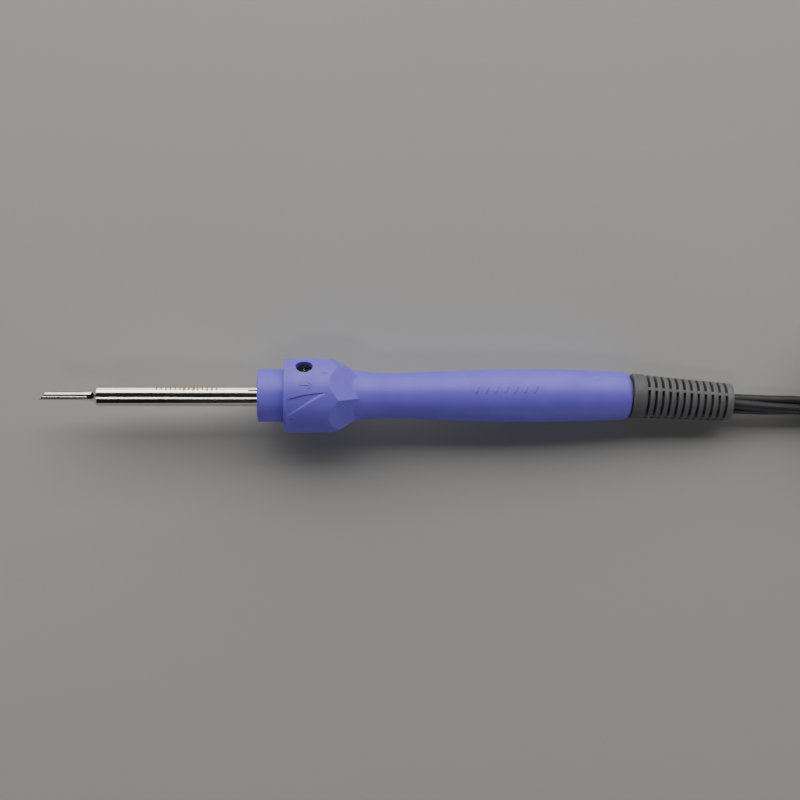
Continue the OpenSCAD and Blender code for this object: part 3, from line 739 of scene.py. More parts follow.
@dataclass
class Lead:
    """Three rubber-covered wires that lie together as one lead."""

    length: float = 1.5           # metres
    width: float = 0.0058         # metres, across all three
    wire_d: float = 2.7
    wire_gap: float = 0.04
    lay_length: float = 245.0     # mm in which the wires turn once round each other
    ring_step: float = 1.5
    sides: int = 16

    def build(self, hank: Hank) -> bpy.types.Object:
        """Makes the three wires as closed tubes along one route.

        A wire's middle is route + c·(cos w·up + sin w·side), where c is the triangle's radius and
        w grows by 360° a lay length; its skin is a circle round that.

        Args:
            hank: The folded part of the route.

        Returns:
            The lead's object.
        """
        chosen = np.vstack([np.array(RUN) / MM, hank.points(), np.array(TAIL) / MM])
        route = smooth_line(chosen, self.ring_step)
        chord = np.linalg.norm(np.diff(route, axis=0), axis=1)
        run = np.concatenate([[0], np.cumsum(chord)])
        ahead = np.gradient(route, run, axis=0)
        ahead /= np.linalg.norm(ahead, axis=1)[:, None]
        side = np.cross([0.0, 0.0, 1.0], ahead)
        side /= np.linalg.norm(side, axis=1)[:, None]
        up = np.cross(ahead, side)
        ring = (self.wire_d + self.wire_gap) / math.sqrt(3)
        first = np.radians(np.array([0, 120, 240]))[:, None]
        twist = first - 2 * np.pi * run[None, :] / self.lay_length
        middle = route + ring * (np.cos(twist)[..., None] * up + np.sin(twist)[..., None] * side)
        around = np.linspace(0, 2 * np.pi, self.sides, endpoint=False)
        skin = (np.cos(around)[:, None] * up[:, None, :] + np.sin(around)[:, None] * side[:, None, :])
        wires = middle[:, :, None, :] + self.wire_d / 2 * skin[None]
        piece = make_piece("lead", wires * MM, "handle")
        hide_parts("cord_run", "cord_hank", "cord_tail")
        self.route = route * MM
        self.real_length = float(run[-1] * MM)
        return PAINT.dress(piece, SILICONE)


@dataclass
class Tie:
    """A woven strap, wound a little over once round the hank's waist."""

    thickness: float = 0.95
    run_r: float = 2.93           # a run's radius, with a hair of room under the strap
    start: float = 35.0           # the angle at which the strap's start lies
    lap: float = 75.0             # degrees that the strap's end lies over its start
    corner_power: float = 6.0
    steps: int = 220

    def build(self, hank: Hank) -> bpy.types.Object:
        """Makes the strap.

        In each direction n round the bundle the strap touches the farthest wire: its middle is
        that run's middle plus (lead radius + half a thickness)·n, and over the lap a further
        thickness. The strap's section is a superellipse of power 6 that is swept along this line.

        Args:
            hank: The hank that the strap holds.

        Returns:
            The strap's object.
        """
        low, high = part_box("cord_tie")
        half_wide = (high.x - low.x) / 2 / MM
        runs = hank.waist()
        turn = np.radians(self.start + np.linspace(0, 360 + self.lap, self.steps))
        away = np.stack([np.cos(turn), np.sin(turn)], -1)
        farthest = runs[np.argmax(away @ runs.T, axis=1)]
        over = ease((turn - turn[0] - 2 * np.pi + 0.25) / 0.3)
        line = farthest + (self.run_r + self.thickness * (0.52 + over))[:, None] * away
        chord = np.concatenate([[0], np.cumsum(np.linalg.norm(np.diff(line, axis=0), axis=1))])
        even = np.linspace(0, chord[-1], self.steps)
        line = np.stack([np.interp(even, chord, line[:, k]) for k in (0, 1)], -1)
        soft = np.pad(line, ((2, 2), (0, 0)), "edge")
        line = (soft[:-4] + soft[1:-3] + soft[2:-2] + soft[3:-1] + soft[4:]) / 5
        ahead = np.gradient(line, axis=0)
        ahead /= np.linalg.norm(ahead, axis=1)[:, None]
        out = np.stack([ahead[:, 1], -ahead[:, 0]], -1)
        a = np.linspace(0, 2 * np.pi, 28, endpoint=False)
        flat, thick = superellipse(a, self.corner_power)
        yz = line[:, None, :] + self.thickness / 2 * thick[None, :, None] * out[:, None, :]
        x = np.broadcast_to(hank.middle_x + half_wide * flat[None, :, None], yz.shape[:2] + (1,))
        piece = make_piece("tie_strap", np.concatenate([x, yz], -1) * MM, "handle")
        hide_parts("cord_tie")
        return PAINT.dress(piece, STRAP)


@dataclass
class Plug:
    """The moulded plug: a scooped grip, a ribbed boot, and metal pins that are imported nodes."""

    corner_power: float = 5.0
    scoop: float = 1.6            # how deep the finger hollows are
    scoop_from: float = 0.12      # share of the length at which the hollows start
    scoop_long: float = 0.62      # share of the length that they take
    face_round: float = 1.4
    shoulder: float = 2.2         # how much smaller the end at the boot is
    shoulder_long: float = 9.0
    boot_r: float = 4.3           # the boot's radius at its thin end
    rib_count: int = 6
    rib_depth: float = 0.55

    def body(self) -> bpy.types.Object:
        """The plug's body, its section a superellipse |y/a|ᵖ + |z/b|ᵖ = 1.

        The half width a falls by scoop·sin² in the middle, and both half sizes shrink by a
        quarter circle at the two faces.

        Returns:
            The body's object.
        """
        low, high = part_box("plug_body")
        size = (high - low) / MM
        t = np.linspace(0, 1, 72)
        near = np.minimum(t, 1 - t) * size.x
        edge = self.face_round * (1 - np.sqrt(1 - (1 - np.clip(near / self.face_round, 0, 1)) ** 2))
        back = self.shoulder * (1 - ease(t * size.x / self.shoulder_long))
        hollow = np.clip((t - self.scoop_from) / self.scoop_long, 0, 1)
        half_y = size.y / 2 - self.scoop * np.sin(np.pi * hollow) ** 2
        half_y, half_z = half_y - edge - back, size.z / 2 - edge - back
        a = np.linspace(0, 2 * np.pi, 96, endpoint=False)
        round_y, round_z = superellipse(a, self.corner_power)
        x = np.broadcast_to((low.x / MM + t * size.x)[:, None], (72, 96))
        y = (low.y + high.y) / 2 / MM + half_y[:, None] * round_y
        z = (low.z + high.z) / 2 / MM + half_z[:, None] * round_z
        piece = make_piece("plug_moulding", np.stack([x, y, z], -1) * MM, "handle")
        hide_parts("plug_body")
        return PAINT.dress(piece, PLUG_PVC)

    def boot(self) -> bpy.types.Object:
        """The ribbed boot: a widening sleeve with rounded grooves, radius − depth·sin⁸."""
        low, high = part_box("plug_boot")
        middle = (low + high) / 2
        line = Line(np.array([low.x, middle.y, middle.z]), np.array([1.0, 0, 0]),
                    np.array([0, 1.0, 0]), np.array([0, 0, 1.0]))
        long, wide = (high.x - low.x) / MM, (high.y - low.y) / 2 / MM
        s = np.linspace(0, 1, 140)
        groove = np.sin(np.pi * s * self.rib_count) ** 8
        radius = blend(self.boot_r, wide, s) - self.rib_depth * (1 - groove) * (s > 0.06)
        radius -= 0.5 * (1 - ease(s / 0.05))
        profile = [(p * long, r) for p, r in zip(s.tolist(), radius.tolist())]
        piece = make_piece("plug_boot_ribbed", turned(line, profile, 64), "handle")
        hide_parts("plug_boot")
        return PAINT.dress(piece, PLUG_PVC)

    def build(self) -> list[bpy.types.Object]:
        """Makes the plug's pieces and dresses its packed pins."""
        pins = [PAINT.dress(frame["nodes"][n], PIN_BRASS) for n in ("plug_blades", "plug_earth_pin")]
        return [self.body(), self.boot(), *pins]


# ---- Tip --------------------------------------------------------------------------------


@dataclass
class Tip:
    """The replaceable tip: a plated bit pressed into a polished tube with a slit rear end."""

    wall: float = 0.4
    rod_r: float = 1.2
    bevel: float = 2.0            # length of the bit's slanted end
    flare: float = 3.6            # length of the concave flare
    play: float = 0.02            # mm between parts that are pressed together
    slit_wide: float = 0.45
    slit_turn: float = 28.0
    slit_show: float = 2.4        # how far the slit stands out of the nose
    etched_rows: tuple[tuple[float, float, int], ...] = ((31.2, 44.0, 9), (38.4, 39.0, 8))
    etched_pitch: float = 1.25
    etched_wide: float = 0.42
    etched_high: float = 0.02

    def __post_init__(self) -> None:
        """Reads the tube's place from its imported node."""
        self.rod_end, self.rear, self.radius = IRON.span("tip_tube")
        self.flare_end = self.rod_end + self.flare

    def bit(self) -> bpy.types.Object:
        """The rod, cut slantwise: y stays under −r + 2r·s/bevel, and its shank in the tube."""
        last = IRON.span("tip_bit")[1]
        inner = self.radius - self.wall - self.play
        s = np.concatenate([[0.0, 0.02], np.linspace(0.1, self.bevel + 0.4, 40),
            np.linspace(self.bevel + 0.6, self.flare_end + 0.58, 20),
            [self.flare_end + 0.6, self.flare_end + 0.7, last - 0.3, last - 0.1, last]])
        r = np.where(s < self.flare_end + 0.59, self.rod_r, inner)
        r = r - 0.3 * ease((s - last + 0.3) / 0.3)
        a = np.linspace(0, 360, 64, endpoint=False)
        y = r[:, None] * np.sin(np.radians(a))
        z = r[:, None] * np.cos(np.radians(a))
        limit = -self.rod_r + 2 * self.rod_r * s / self.bevel
        edge = np.where(s < self.bevel, limit, 99.0)[:, None]
        cut_y = np.minimum(y, edge)
        piece = make_piece("bit", IRON.lay(np.broadcast_to(s[:, None], y.shape), cut_y, z),
                           "tip", sharp=30)
        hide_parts("tip_bit")
        return PAINT.dress(piece, IRON_PLATE)

    def tube(self) -> bpy.types.Object:
        """The tube: a concave flare, a long straight barrel, and its bore.

        The flare's radius is rod + (tube − rod)·t²·⁶ along its length t.

        Returns:
            The tube's object.
        """
        inner = self.radius - self.wall
        t = np.sin(np.linspace(0, np.pi / 2, 22))
        flare = self.rod_r + (self.radius - self.rod_r) * t ** 2.6
        flare[0] += 0.06
        outline = [(self.rod_end + self.flare * p, q) for p, q in zip(t.tolist(), flare.tolist())]
        outline += [(p, self.radius) for p in np.linspace(self.flare_end + 0.2, self.rear - 0.15, 90)]
        outline += [(self.rear, self.radius - 0.12), (self.rear, inner + 0.05)]
        outline += [(p, inner) for p in np.linspace(self.rear - 0.1, self.flare_end + 0.6, 60)]
        socket = self.rod_r + self.play
        outline += [(self.flare_end + 0.58, socket), (self.rod_end, socket)]
        piece = make_piece("tip_barrel", turned(IRON, outline, 96), "tip", Ends.RING)
        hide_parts("tip_tube")
        cut(piece, self.slit_cutter())
        return PAINT.dress(piece, STAINLESS)

    def slit_cutter(self) -> bpy.types.Object:
        """A blade with a round front end that cuts both walls of the tube's rear."""
        front = IRON.span("nose")[0] - self.slit_show
        half = self.slit_wide / 2
        a = np.radians(np.linspace(90, 270, 13))
        s = np.concatenate([front + half * np.cos(a), [self.rear + 2, self.rear + 2]])
        w = np.concatenate([half * np.sin(a), [-half, half]])
        high = np.array([-2 * self.radius, 2 * self.radius])[:, None]
        turn = math.radians(self.slit_turn)
        aside = high * math.sin(turn) + w * math.cos(turn)
        above = high * math.cos(turn) - w * math.sin(turn)
        return make_piece("slit_blade", IRON.lay(np.broadcast_to(s, aside.shape), aside, above),
                          "")

    def etching(self) -> bpy.types.Object:
        """Two short rows of plain etched strokes along the tube, as a thin skin."""
        rows, pitch = self.etched_rows, self.etched_pitch
        starts = np.concatenate([at + np.arange(n) * pitch for at, _, n in rows])
        turns = np.concatenate([np.full(n, turn) for _, turn, n in rows])
        count = len(starts)
        tall = np.where(np.arange(count) % 3 == 1, 1.0, 1.5)
        return strokes("tube_etching", IRON, lambda s: np.full_like(s, self.radius), starts, turns,
                       tall, np.full(count, self.etched_wide), np.zeros(count), self.etched_high,
                       "tip", ETCHED)

    def build(self) -> list[bpy.types.Object]:
        """Makes the bit, the tube and its etched strokes."""
        return [self.bit(), self.tube(), self.etching()]


def strokes(name: str, line: Line, radius_at: Callable[[np.ndarray], np.ndarray],
            stations: np.ndarray, angles: np.ndarray, lengths: np.ndarray, widths: np.ndarray,
            slants: np.ndarray, height: float, body: str,
            finish: Finish) -> bpy.types.Object:
    """Raised strokes that lie on a turned surface, as one piece of closed pillows.

    Each stroke's section is a flattened superellipse of power 4, sunk by its own height, and its
    ends taper as a quarter circle. A stroke of slant 0 runs round the surface.

    Args:
        name: The piece's name.
        line: The surface's axis.
        radius_at: A function from stations to the surface's radius, in mm.
        stations: Each stroke's middle along the line.
        angles: Each stroke's middle round the line, in degrees.
        lengths: Each stroke's length, in mm.
        widths: Each stroke's width, in mm.
        slants: Degrees that each stroke is turned from running round the surface.
        height: How far the strokes stand proud, in mm.
        body: The body that the piece rides on.
        finish: What the strokes are made of.

    Returns:
        The piece.
    """
    t = np.linspace(-1, 1, 15)
    a = np.linspace(0, 2 * np.pi, 16, endpoint=False)
    full = (1 - np.clip(np.abs(t) * 1.02 - 0.02, 0, 1) ** 6) ** 0.5
    across, above = superellipse(a, 4)
    wide = widths[:, None, None] / 2 * full[None, :, None] * across
    long = lengths[:, None, None] / 2 * t[None, :, None] + 0 * wide
    rise = height * full[None, :, None] * above + 0 * wide
    slant = np.radians(slants)[:, None, None]
    s = stations[:, None, None] + long * np.sin(slant) + wide * np.cos(slant)
    r = radius_at(s)
    angle = angles[:, None, None] + np.degrees((long * np.cos(slant) - wide * np.sin(slant)) / r)
    piece = make_piece(name, line.place(s, r + rise, angle), body, sharp=60)
    return PAINT.dress(piece, finish)


# ---- Handle -----------------------------------------------------------------------------


# The strain relief's neck and barb, which the handle's rear bore and groove hold, in mm
NECK_WALL = 0.46
NECK_ROOM = 0.04
BARB_HIGH = 0.28
BARB_LONG = 2.0


@dataclass
class Handle:
    """The moulded handle and nose: collar, six facets, waist, belly and rounded tail."""

    facet_slope: float = 29.5
    facet_turn: float = -8.0
    collar_long: float = 12.2
    collar_r: float = 10.0
    lip_high: float = 0.12
    lip_wide: float = 1.1
    waist_r: float = 6.05
    belly_r: float = 7.15
    tail_r: float = 6.55
    facet_long: float = 6.3       # from the facets' start to the neck
    neck_long: float = 9.3        # from the neck to the waist
    belly_share: float = 0.55     # where the belly lies between the waist and the end
    end_round: float = 2.6        # length of the rounded end
    end_drop: float = 1.3         # how much radius the rounding takes
    neck_swell: float = 0.55
    front_bore: float = 6.2
    wire_bore: float = 4.2
    scoop_deep: float = 0.32      # depth of the crescent hollow on the collar
    scoop_long: float = 10.5
    scoop_upper: tuple[float, float] = (-6.0, 4.0)    # degrees, at its front and at its rear
    scoop_lower: tuple[float, float] = (-35.0, 3.0)
    bar_count: int = 7
    bar_from: float = 116.6
    bar_pitch: float = 2.6
    bar_turn: float = 14.0
    bar_slant: float = 24.0
    bar_size: tuple[float, float, float] = (2.6, 0.7, 0.14)    # length, width, height
    mark_wide: float = 0.38
    mark_high: float = 0.12

    def __post_init__(self) -> None:
        """Works out the handle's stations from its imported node."""
        self.front, self.end, _ = IRON.span("handle")
        self.facet_at = self.front + self.collar_long
        self.neck_at = self.facet_at + self.facet_long
        self.waist_at = self.neck_at + self.neck_long
        self.belly_at = self.waist_at + self.belly_share * (self.end - self.waist_at)
        self.round_at = self.end - self.end_round
        self.seat_rear = IRON.span("heater_seat")[1]
        self.relief_front = IRON.span("strain_relief")[0]

    def grip(self, s: np.ndarray) -> np.ndarray:
        """Radius of the grip at station s, one smooth line.

        Behind the neck it eases by neck_swell down to the waist, then up to the belly along
        ease(t⁰·⁸), down to the tail along t², and round over the end as drop·(1 − √(1 − t²)).

        Args:
            s: Stations in mm.

        Returns:
            Radii in mm.
        """
        to_waist = ease((s - self.neck_at) / (self.waist_at - self.neck_at))
        to_belly = np.clip((s - self.waist_at) / (self.belly_at - self.waist_at), 0, 1)
        to_tail = np.clip((s - self.belly_at) / (self.round_at - self.belly_at), 0, 1)
        over = np.clip((s - self.round_at) / (self.end - self.round_at), 0, 1)
        r = self.waist_r + self.neck_swell * (1 - to_waist)
        r = blend(r, self.belly_r, ease(to_belly ** 0.8)) * (s >= self.waist_at) + r * (
            s < self.waist_at)
        return blend(r, self.tail_r, to_tail ** 2) - self.end_drop * (1 - np.sqrt(1 - over ** 2))

    def facet(self, s: np.ndarray, angle: np.ndarray) -> np.ndarray:
        """Radius of the six facets: (R − (s − s₀)·tan slope) / cos(angle from the flat)."""
        off = (angle - self.facet_turn) % 60 - 30
        flat = self.collar_r - (s - self.facet_at) * math.tan(math.radians(self.facet_slope))
        return np.maximum(flat, 0.5) / np.cos(np.radians(off))

    def crossings(self, angle: np.ndarray) -> tuple[np.ndarray, np.ndarray]:
        """Where the facets start and where they run into the neck, for each angle.

        Args:
            angle: Column angles in degrees.

        Returns:
            The stations of the scalloped edge and of the facets' foot.
        """
        off = np.radians((angle - self.facet_turn) % 60 - 30)
        slope = math.tan(math.radians(self.facet_slope))
        edge = self.facet_at + self.collar_r * (1 - np.cos(off)) / slope
        neck = self.waist_r + self.neck_swell
        foot = self.facet_at + (self.collar_r - neck * np.cos(off)) / slope
        for _ in range(8):
            foot = self.facet_at + (self.collar_r - self.grip(foot) * np.cos(off)) / slope
        return edge, foot

    def crescent(self, s: np.ndarray, angle: np.ndarray) -> np.ndarray:
        """How deep the crescent hollow is at each point, from 0 to 1.

        It lies between two arcs that open towards the collar's front and meet near its rear. With
        t from 0 to 1 along it, the upper arc climbs from its first angle to its last as
        1 − (1 − t)², and the lower as first·(1 − t)^1.15 + last·t.

        Args:
            s: Stations in mm.
            angle: Angles in degrees.

        Returns:
            Shares of the full depth.
        """
        past = s - self.front - self.lip_wide
        t = np.clip(past / (self.scoop_long - 0.1), 0, 1)
        upper = blend(*self.scoop_upper, 1 - (1 - t) ** 2)
        lower = self.scoop_lower[0] * (1 - t) ** 1.15 + self.scoop_lower[1] * t
        edge = 1.1                # degrees over which the upper side falls; the lower takes 4 times
        inside = ease((upper - angle) / edge) * ease((angle - lower) / (4 * edge))
        return inside * ease(past / 0.5) * ease((self.scoop_long - past) / 0.6)

    def outside(self, angle: np.ndarray) -> tuple[np.ndarray, np.ndarray]:
        """The handle's outer skin from the collar's front face to its end.

        Rings follow the scalloped edge and the facets' foot, so both stay crisp lines.

        Args:
            angle: Column angles in degrees.

        Returns:
            Stations and radii, each as (ring, column).
        """
        edge, foot = self.crossings(angle)
        lip = np.array([[0.0, -0.42], [0.03, -0.15], [0.12, 0.02], [0.3, self.lip_high],
            [self.lip_wide - 0.35, self.lip_high], [self.lip_wide - 0.15, self.lip_high * 0.6],
            [self.lip_wide, 0.0]])
        made_s = [np.full(angle.size, self.front + p) for p in lip[:, 0]]
        made_r = [np.full(angle.size, self.collar_r + p) for p in lip[:, 1]]
        start = self.front + self.lip_wide
        for t in np.linspace(0, 1, 66)[1:-1]:
            s = blend(start, edge - 0.12, t)
            made_s.append(s)
            made_r.append(self.collar_r - self.scoop_deep * self.crescent(s, angle))
        for off, drop in ((-0.12, 0.0), (-0.05, 0.006), (0.03, 0.012), (0.1, 0.004)):
            s = edge + off
            made_s.append(s)
            made_r.append(np.minimum(self.collar_r, self.facet(s, angle)) - drop)
        for t in np.linspace(0, 1, 16)[1:-1]:
            s = blend(edge + 0.1, foot - 0.35, t)
            made_s.append(s)
            made_r.append(self.facet(s, angle))
        for off in np.linspace(-0.35, 0.35, 6):
            s = foot + off
            made_s.append(s)
            hollow = 0.05 * np.cos(np.pi / 2 * off / 0.35) ** 2
            made_r.append(np.maximum(self.facet(s, angle), self.grip(s)) + hollow)
        for t in np.linspace(0, 1, 92)[1:]:
            s = blend(foot + 0.35, self.round_at, t)
            made_s.append(s)
            made_r.append(self.grip(s))
        for a in np.radians(np.linspace(0, 90, 9)[1:]):
            s = np.full(angle.size, self.round_at + (self.end - self.round_at) * math.sin(a))
            made_s.append(s)
            made_r.append(np.full(angle.size, self.tail_r - self.end_drop * (1 - math.cos(a))))
        return np.array(made_s), np.array(made_r)

    def columns(self) -> np.ndarray:
        """Column angles: close together over the marks on top, wider elsewhere."""
        fine = np.arange(-38, 8, 0.6)
        wide = np.arange(8, 322, 1.875)
        corners = self.facet_turn + 60 * np.arange(6)
        every = np.unique(np.round(np.concatenate([fine, wide, corners]) % 360, 3))
        keep = np.concatenate([[True], np.diff(every) > 0.25])
        keep |= np.isin(every, np.round(corners % 360, 3))
        return np.where(every[keep] > 180, every[keep] - 360, every[keep])

    def shell(self) -> bpy.types.Object:
        """The handle as one closed ring of rings: outer skin, rear face, bores, front face."""
        angle = self.columns()
        s, r = self.outside(angle)
        bore = IRON.span("cord_grip")[2] + NECK_WALL + NECK_ROOM
        groove, groove_rear = bore + BARB_HIGH, self.relief_front + BARB_LONG
        inside = [(self.end, bore + 0.3), (self.end - 0.2, bore), (groove_rear, bore),
                  (groove_rear, groove), (self.relief_front, groove),
                  (self.relief_front, self.wire_bore),
                  (self.seat_rear + 20, self.wire_bore), (self.seat_rear, self.wire_bore),
                  (self.seat_rear, self.front_bore), (self.front + 0.2, self.front_bore),
                  (self.front, self.front_bore + 0.2), (self.front, self.collar_r - 1.6)]
        inner = np.array(inside)
        s = np.vstack([s, np.broadcast_to(inner[:, :1], (len(inner), angle.size))])
        r = np.vstack([r, np.broadcast_to(inner[:, 1:], (len(inner), angle.size))])
        piece = make_piece("grip_moulding", IRON.place(s, r, angle[None, :]), "handle",
                           Ends.RING, sharp=32)
        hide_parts("handle")
        return piece

    def nose(self) -> bpy.types.Object:
        """The nose: a plain sleeve with a softly rounded front edge, and its spigot."""
        front, rear, radius = IRON.span("nose")
        bore = IRON.span("tip_tube")[2] + 0.3
        spigot = self.front_bore - 0.02
        outline = rounded([(front + 4, bore, 0), (front, bore, 0.15), (front, radius, 0.45),
            (self.front, radius, 0.12), (self.front, spigot, 0), (rear, spigot, 0.2),
            (rear, bore, 0.2), (rear - 1, bore, 0)])
        piece = make_piece("nose_sleeve", turned(IRON, outline, 128), "handle",
                           Ends.RING)
        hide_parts("nose")
        return PAINT.dress(piece, HANDLE_ABS)

    def marks(self) -> list[bpy.types.Object]:
        """Raised plain marks: a row of slanted bars on the grip, and small ones on the collar.

        Returns:
            The bars, and the collar's arrow, dash and pointer.
        """
        count = self.bar_count
        long, wide, high = self.bar_size
        bars = strokes("grip_bars", IRON, self.grip,
            self.bar_from + self.bar_pitch * np.arange(count), np.full(count, self.bar_turn),
            np.full(count, long), np.full(count, wide), np.full(count, self.bar_slant), high,
            "handle", HANDLE_ABS)
        where = np.array([  # station past the collar's front, angle, length, slant
            [5.7, 16.0, 3.4, 90.0], [6.9, 19.2, 1.5, -45.0], [6.9, 12.8, 1.5, 45.0],
            [10.8, 37.0, 2.0, 90.0], [2.5, -41.0, 1.4, 62.0], [2.5, -36.0, 1.4, -62.0]])
        collar = strokes("collar_marks", IRON, lambda s: np.full_like(s, self.collar_r),
            self.front + where[:, 0], where[:, 1], where[:, 2], np.full(len(where), self.mark_wide),
            where[:, 3], self.mark_high, "handle", HANDLE_ABS)
        return [bars, collar]

    def build(self) -> list[bpy.types.Object]:
        """Makes the handle, drills its screw hole, and adds the nose and the marks."""
        shell = self.shell()
        cut(shell, ClampScrew().cutter(), 32)
        PAINT.dress(shell, HANDLE_ABS)
        return [shell, self.nose(), *self.marks()]


@dataclass
class ClampScrew:
    """The black cross-recessed screw that clamps the tip's tube."""

    head_r: float = 2.1
    head_high: float = 1.6
    shank_r: float = 1.3
    thread: float = 0.45          # pitch
    thread_deep: float = 0.14
    counterbore: float = 2.3
    hole: float = 1.6
    under_head: float = 0.25      # room under the head before the screw is tight
    clear_of_collar: float = 3.0  # how far the cutting shape stands out
    recess_reach: float = 1.35
    recess_wide: float = 0.62
    recess_deep: float = 0.95
    recess_turn: float = 8.0

    def __post_init__(self) -> None:
        """Reads the screw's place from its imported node."""
        self.line = screw_line()
        self.low, self.high, _ = self.line.span("clamp_screw")
        self.head_low = self.high - self.head_high

    def cutter(self) -> bpy.types.Object:
        """The stepped hole that the screw sits in."""
        seat = self.head_low - self.under_head
        out = self.high + self.clear_of_collar
        core = 0.3                # radius at which the end fans start
        outline = [(0.0, core), (0.0, self.hole), (seat, self.hole),
                   (seat, self.counterbore), (out, self.counterbore), (out, core)]
        return make_piece("screw_hole", turned(self.line, outline, 64), "")

    def recess(self, r: np.ndarray, angle: np.ndarray) -> np.ndarray:
        """Depth of the cross recess, which tapers towards its arms' ends.

        The depth is deep·(1 − 0.55·reach²) inside either arm, and eases to 0 over its edge.

        Args:
            r: Distances from the screw's axis.
            angle: Angles in degrees.

        Returns:
            Depths in mm.
        """
        turned_by = np.radians(angle - self.recess_turn)
        x, y = r * np.cos(turned_by), r * np.sin(turned_by)
        depth = np.zeros_like(x)
        for a, b in ((x, y), (y, x)):
            reach = np.abs(a) / self.recess_reach
            wide = self.recess_wide / 2 * (1 - 0.25 * np.clip(reach, 0, 1))
            inside = ease((wide - np.abs(b)) / 0.09 + 0.5) * ease((1 - reach) / 0.07 + 0.5)
            bowl = 1 - 0.55 * np.clip(reach, 0, 1) ** 2
            depth = np.maximum(depth, inside * self.recess_deep * bowl)
        return depth

    def screw(self) -> bpy.types.Object:
        """The screw as rings from the middle of its head, over the edge and down its thread.

        The thread's radius is shank − deep·(1 − triangle(s/pitch − angle/360)).

        Returns:
            The screw's object.
        """
        columns = 160
        angle = np.linspace(0, 360, columns, endpoint=False)[None, :]
        top_r = np.linspace(0.03, self.head_r - 0.62, 44)[:, None]
        top_s = self.high - self.recess(top_r + 0 * angle, angle + 0 * top_r)
        dome = rounded([(self.high, self.head_r - 0.6, 0), (self.high - 0.16, self.head_r - 0.28, 0.3),
            (self.high - 0.62, self.head_r, 0.3), (self.head_low, self.head_r, 0.08),
            (self.head_low, self.shank_r + 0.05, 0.05), (self.head_low - 0.3, self.shank_r, 0)], 4)
        dome = np.array(dome)
        s = np.arange(self.head_low - 0.4, self.low + 0.45, -0.05)[:, None]
        phase = (s / self.thread - angle / 360) % 1
        ridge = 1 - np.abs(2 * phase - 1)
        fade = ease((self.head_low - 0.4 - s) / 0.3)
        r = self.shank_r - self.thread_deep * (1 - ridge) * fade
        end = np.array([[self.low + 0.3, self.shank_r - 0.2], [self.low, self.shank_r - 0.42]])
        stations = np.vstack([top_s, dome[:, :1] + 0 * angle, s + 0 * angle, end[:, :1] + 0 * angle])
        radii = np.vstack([top_r + 0 * angle, dome[:, 1:] + 0 * angle, r, end[:, 1:] + 0 * angle])
        piece = make_piece("clamp_screw_black", self.line.place(stations, radii, angle),
                           "clamp_screw", sharp=45)
        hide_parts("clamp_screw")
        return PAINT.dress(piece, BLACK_OXIDE)


# ---- Strain relief ------------------------------------------------------------------------


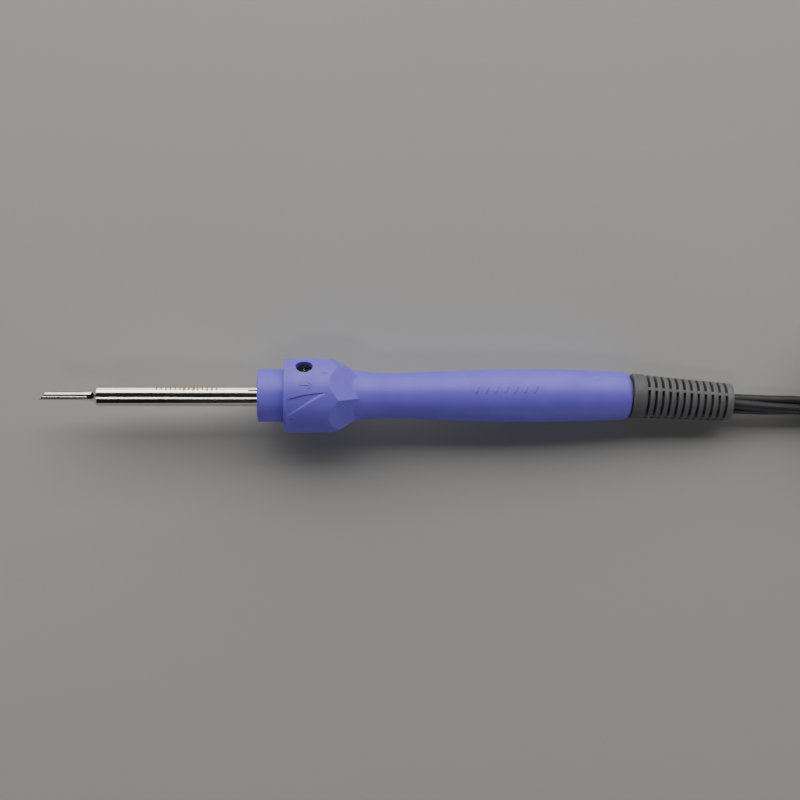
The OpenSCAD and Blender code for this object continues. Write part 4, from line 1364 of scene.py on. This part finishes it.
@dataclass
class StrainRelief:
    """The grey rubber sleeve: a plain flange, then twelve rings with slots and four ribs."""

    yaw: float = 3.7              # it points a little towards −Y
    gap: float = 0.4              # between the handle's end and the flange
    flange_r: float = 6.1
    flange_long: float = 3.3
    ring_r: float = 5.85
    end_r: float = 5.1
    slots: int = 12
    pitch: float = 1.935
    slot_wide: float = 0.75
    slot_floor: float = 3.78
    rib_wide: float = 1.0
    rib_turn: float = 22.0
    bore: float = 3.58
    rear_land: float = 1.85

    def line(self) -> Line:
        """The sleeve's own axis, which starts at the bend behind the handle."""
        bend = IRON.span("handle")[1] + self.gap
        turn = math.radians(self.yaw)
        along = math.cos(turn) * IRON.along - math.sin(turn) * IRON.side
        side = math.sin(turn) * IRON.along + math.cos(turn) * IRON.side
        return Line(IRON.origin + MM * bend * IRON.along, along, side, IRON.up)

    def rib(self, radius: np.ndarray, angle: np.ndarray) -> np.ndarray:
        """1 on the four ribs and 0 between them, with edges 0.12 mm soft."""
        off = np.radians((angle - self.rib_turn + 45) % 90 - 45)
        return ease((self.rib_wide / 2 - np.abs(radius * np.sin(off))) / 0.12 + 0.5)

    def sleeve(self) -> bpy.types.Object:
        """The ringed sleeve, as one closed ring of rings.

        The outer radius falls evenly from the first ring to the last. In a slot it drops to the
        slot's floor, except on the ribs, and each ring's corners are rounded by 0.1 mm.

        Returns:
            The sleeve's object.
        """
        line = self.line()
        angle = np.linspace(0, 360, 240, endpoint=False)[None, :]
        first_slot = self.flange_long + 0.4
        length = first_slot + self.slot_wide + (self.slots - 1) * self.pitch + self.rear_land
        s, r = [], []

        def ring(station: float, radius: float, floor: float = 0.0) -> None:
            """Adds a ring: floor is how far the radius drops towards the slot's floor."""
            deep = floor * (radius - self.slot_floor) * (1 - self.rib(radius + 0 * angle, angle))
            s.append(np.full(angle.shape[1], station))
            r.append((radius - deep + 0 * angle)[0])

        for station, radius in ((0.0, self.flange_r - 0.75), (0.05, self.flange_r - 0.4),
                (0.2, self.flange_r - 0.14), (0.45, self.flange_r - 0.03), (0.7, self.flange_r),
                (self.flange_long - 0.3, self.flange_r - 0.08),
                (self.flange_long, self.flange_r - 0.16), (first_slot - 0.12, self.ring_r)):
            ring(station, radius)
        for i in range(self.slots):
            here = first_slot + i * self.pitch
            radius = blend(self.ring_r, self.end_r, (here - first_slot) / (length - first_slot))
            for off, drop, floor in ((-0.1, 0.0, 0.0), (-0.03, 0.03, 0.0), (0.0, 0.1, 0.0),
                    (0.02, 0.1, 0.5), (0.05, 0.1, 0.95), (0.12, 0.1, 1.0),
                    (self.slot_wide / 2, 0.12, 1.0), (self.slot_wide - 0.12, 0.1, 1.0),
                    (self.slot_wide - 0.05, 0.1, 0.95), (self.slot_wide - 0.02, 0.1, 0.5),
                    (self.slot_wide, 0.1, 0.0), (self.slot_wide + 0.03, 0.03, 0.0),
                    (self.slot_wide + 0.1, 0.0, 0.0)):
                ring(here + off, radius - drop, floor)
            if i < self.slots - 1:
                ring(here + (self.slot_wide + self.pitch) / 2, radius + 0.012)
        for station, radius in ((length - 0.35, self.end_r), (length - 0.1, self.end_r - 0.1),
                (length, self.end_r - 0.35), (length, self.bore + 0.25),
                (length - 0.2, self.bore), (length / 2, self.bore), (0.6, self.bore),
                (0.0, self.bore - 0.1), (0.0, self.flange_r - 1.4)):
            ring(station, radius)
        piece = make_piece("relief_sleeve", line.place(np.array(s), np.array(r), angle), "handle",
                           Ends.RING, sharp=50)
        return PAINT.dress(piece, RELIEF_TPE)

    def neck(self) -> bpy.types.Object:
        """The plain neck and its barb, which the handle holds."""
        front = IRON.span("strain_relief")[0]
        rear = IRON.span("handle")[1] + self.gap + 0.1
        outer = IRON.span("cord_grip")[2] + NECK_WALL
        barb, barb_rear = outer + BARB_HIGH, front + BARB_LONG
        bore = self.bore - 0.15
        outline = rounded([(front + 1, bore, 0), (front, bore, 0.1), (front, barb, 0.2),
            (barb_rear, barb, 0.1), (barb_rear, outer, 0), (rear, outer, 0),
            (rear, bore, 0), (front + 3, bore, 0)])
        piece = make_piece("relief_neck", turned(IRON, outline, 72), "handle",
                           Ends.RING)
        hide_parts("strain_relief")
        return PAINT.dress(piece, RELIEF_TPE)

    def build(self) -> list[bpy.types.Object]:
        """Makes the sleeve and its neck."""
        sleeve = self.sleeve()
        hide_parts("strain_relief")
        return [sleeve, self.neck()]


# ---- Inside the iron ------------------------------------------------------------------------


@dataclass
class Inside:
    """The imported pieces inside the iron, which keep their shapes and get their finishes."""

    def build(self) -> list[bpy.types.Object]:
        """Dresses every inner piece with the finish of its real material."""
        worn = {
            "heater_core": CERAMIC, "heater_winding": NICHROME, "mica_wrap": MICA,
            "heater_sheath": SHEATH, "heater_seat": CERAMIC, "heater_leads": NICKEL,
            "lead_sleeves": GLASS_BRAID, "splice_ferrules": BRASS, "splice_covers": SHRINK,
            "clamp_block": BRASS, "earth_lug": BRASS, "earth_ferrule": BRASS,
            "wire_insulation": SILICONE, "wire_cores": COPPER, "cord_grip": ZINC}
        return [PAINT.dress(frame["nodes"][node], finish) for node, finish in worn.items()]


def main() -> None:
    """Builds every sub-assembly in order and reports each piece."""
    logging.basicConfig(level=logging.INFO, format="%(name)s: %(message)s")
    studio = Studio()
    studio.camera()
    hank = Hank()
    lead = Lead()
    cord = lead.build(hank)
    tie = Tie().build(hank)
    plug = Plug().build()
    LOG.info("lead: %.3f m along its middle, declared %.3f m", lead.real_length, lead.length)
    groups = {
        "tip": Tip().build(), "handle": Handle().build(), "screw": [ClampScrew().screw()],
        "strain relief": StrainRelief().build(), "inside": Inside().build(), "plug": plug,
        "tie": [tie], "floor": [studio.floor()]}
    studio.lights()
    for group, pieces in groups.items():
        for piece in pieces:
            LOG.info("%s: %s, %d faces", group, piece.name, len(piece.data.polygons))


if __name__ == "__main__":
    main()
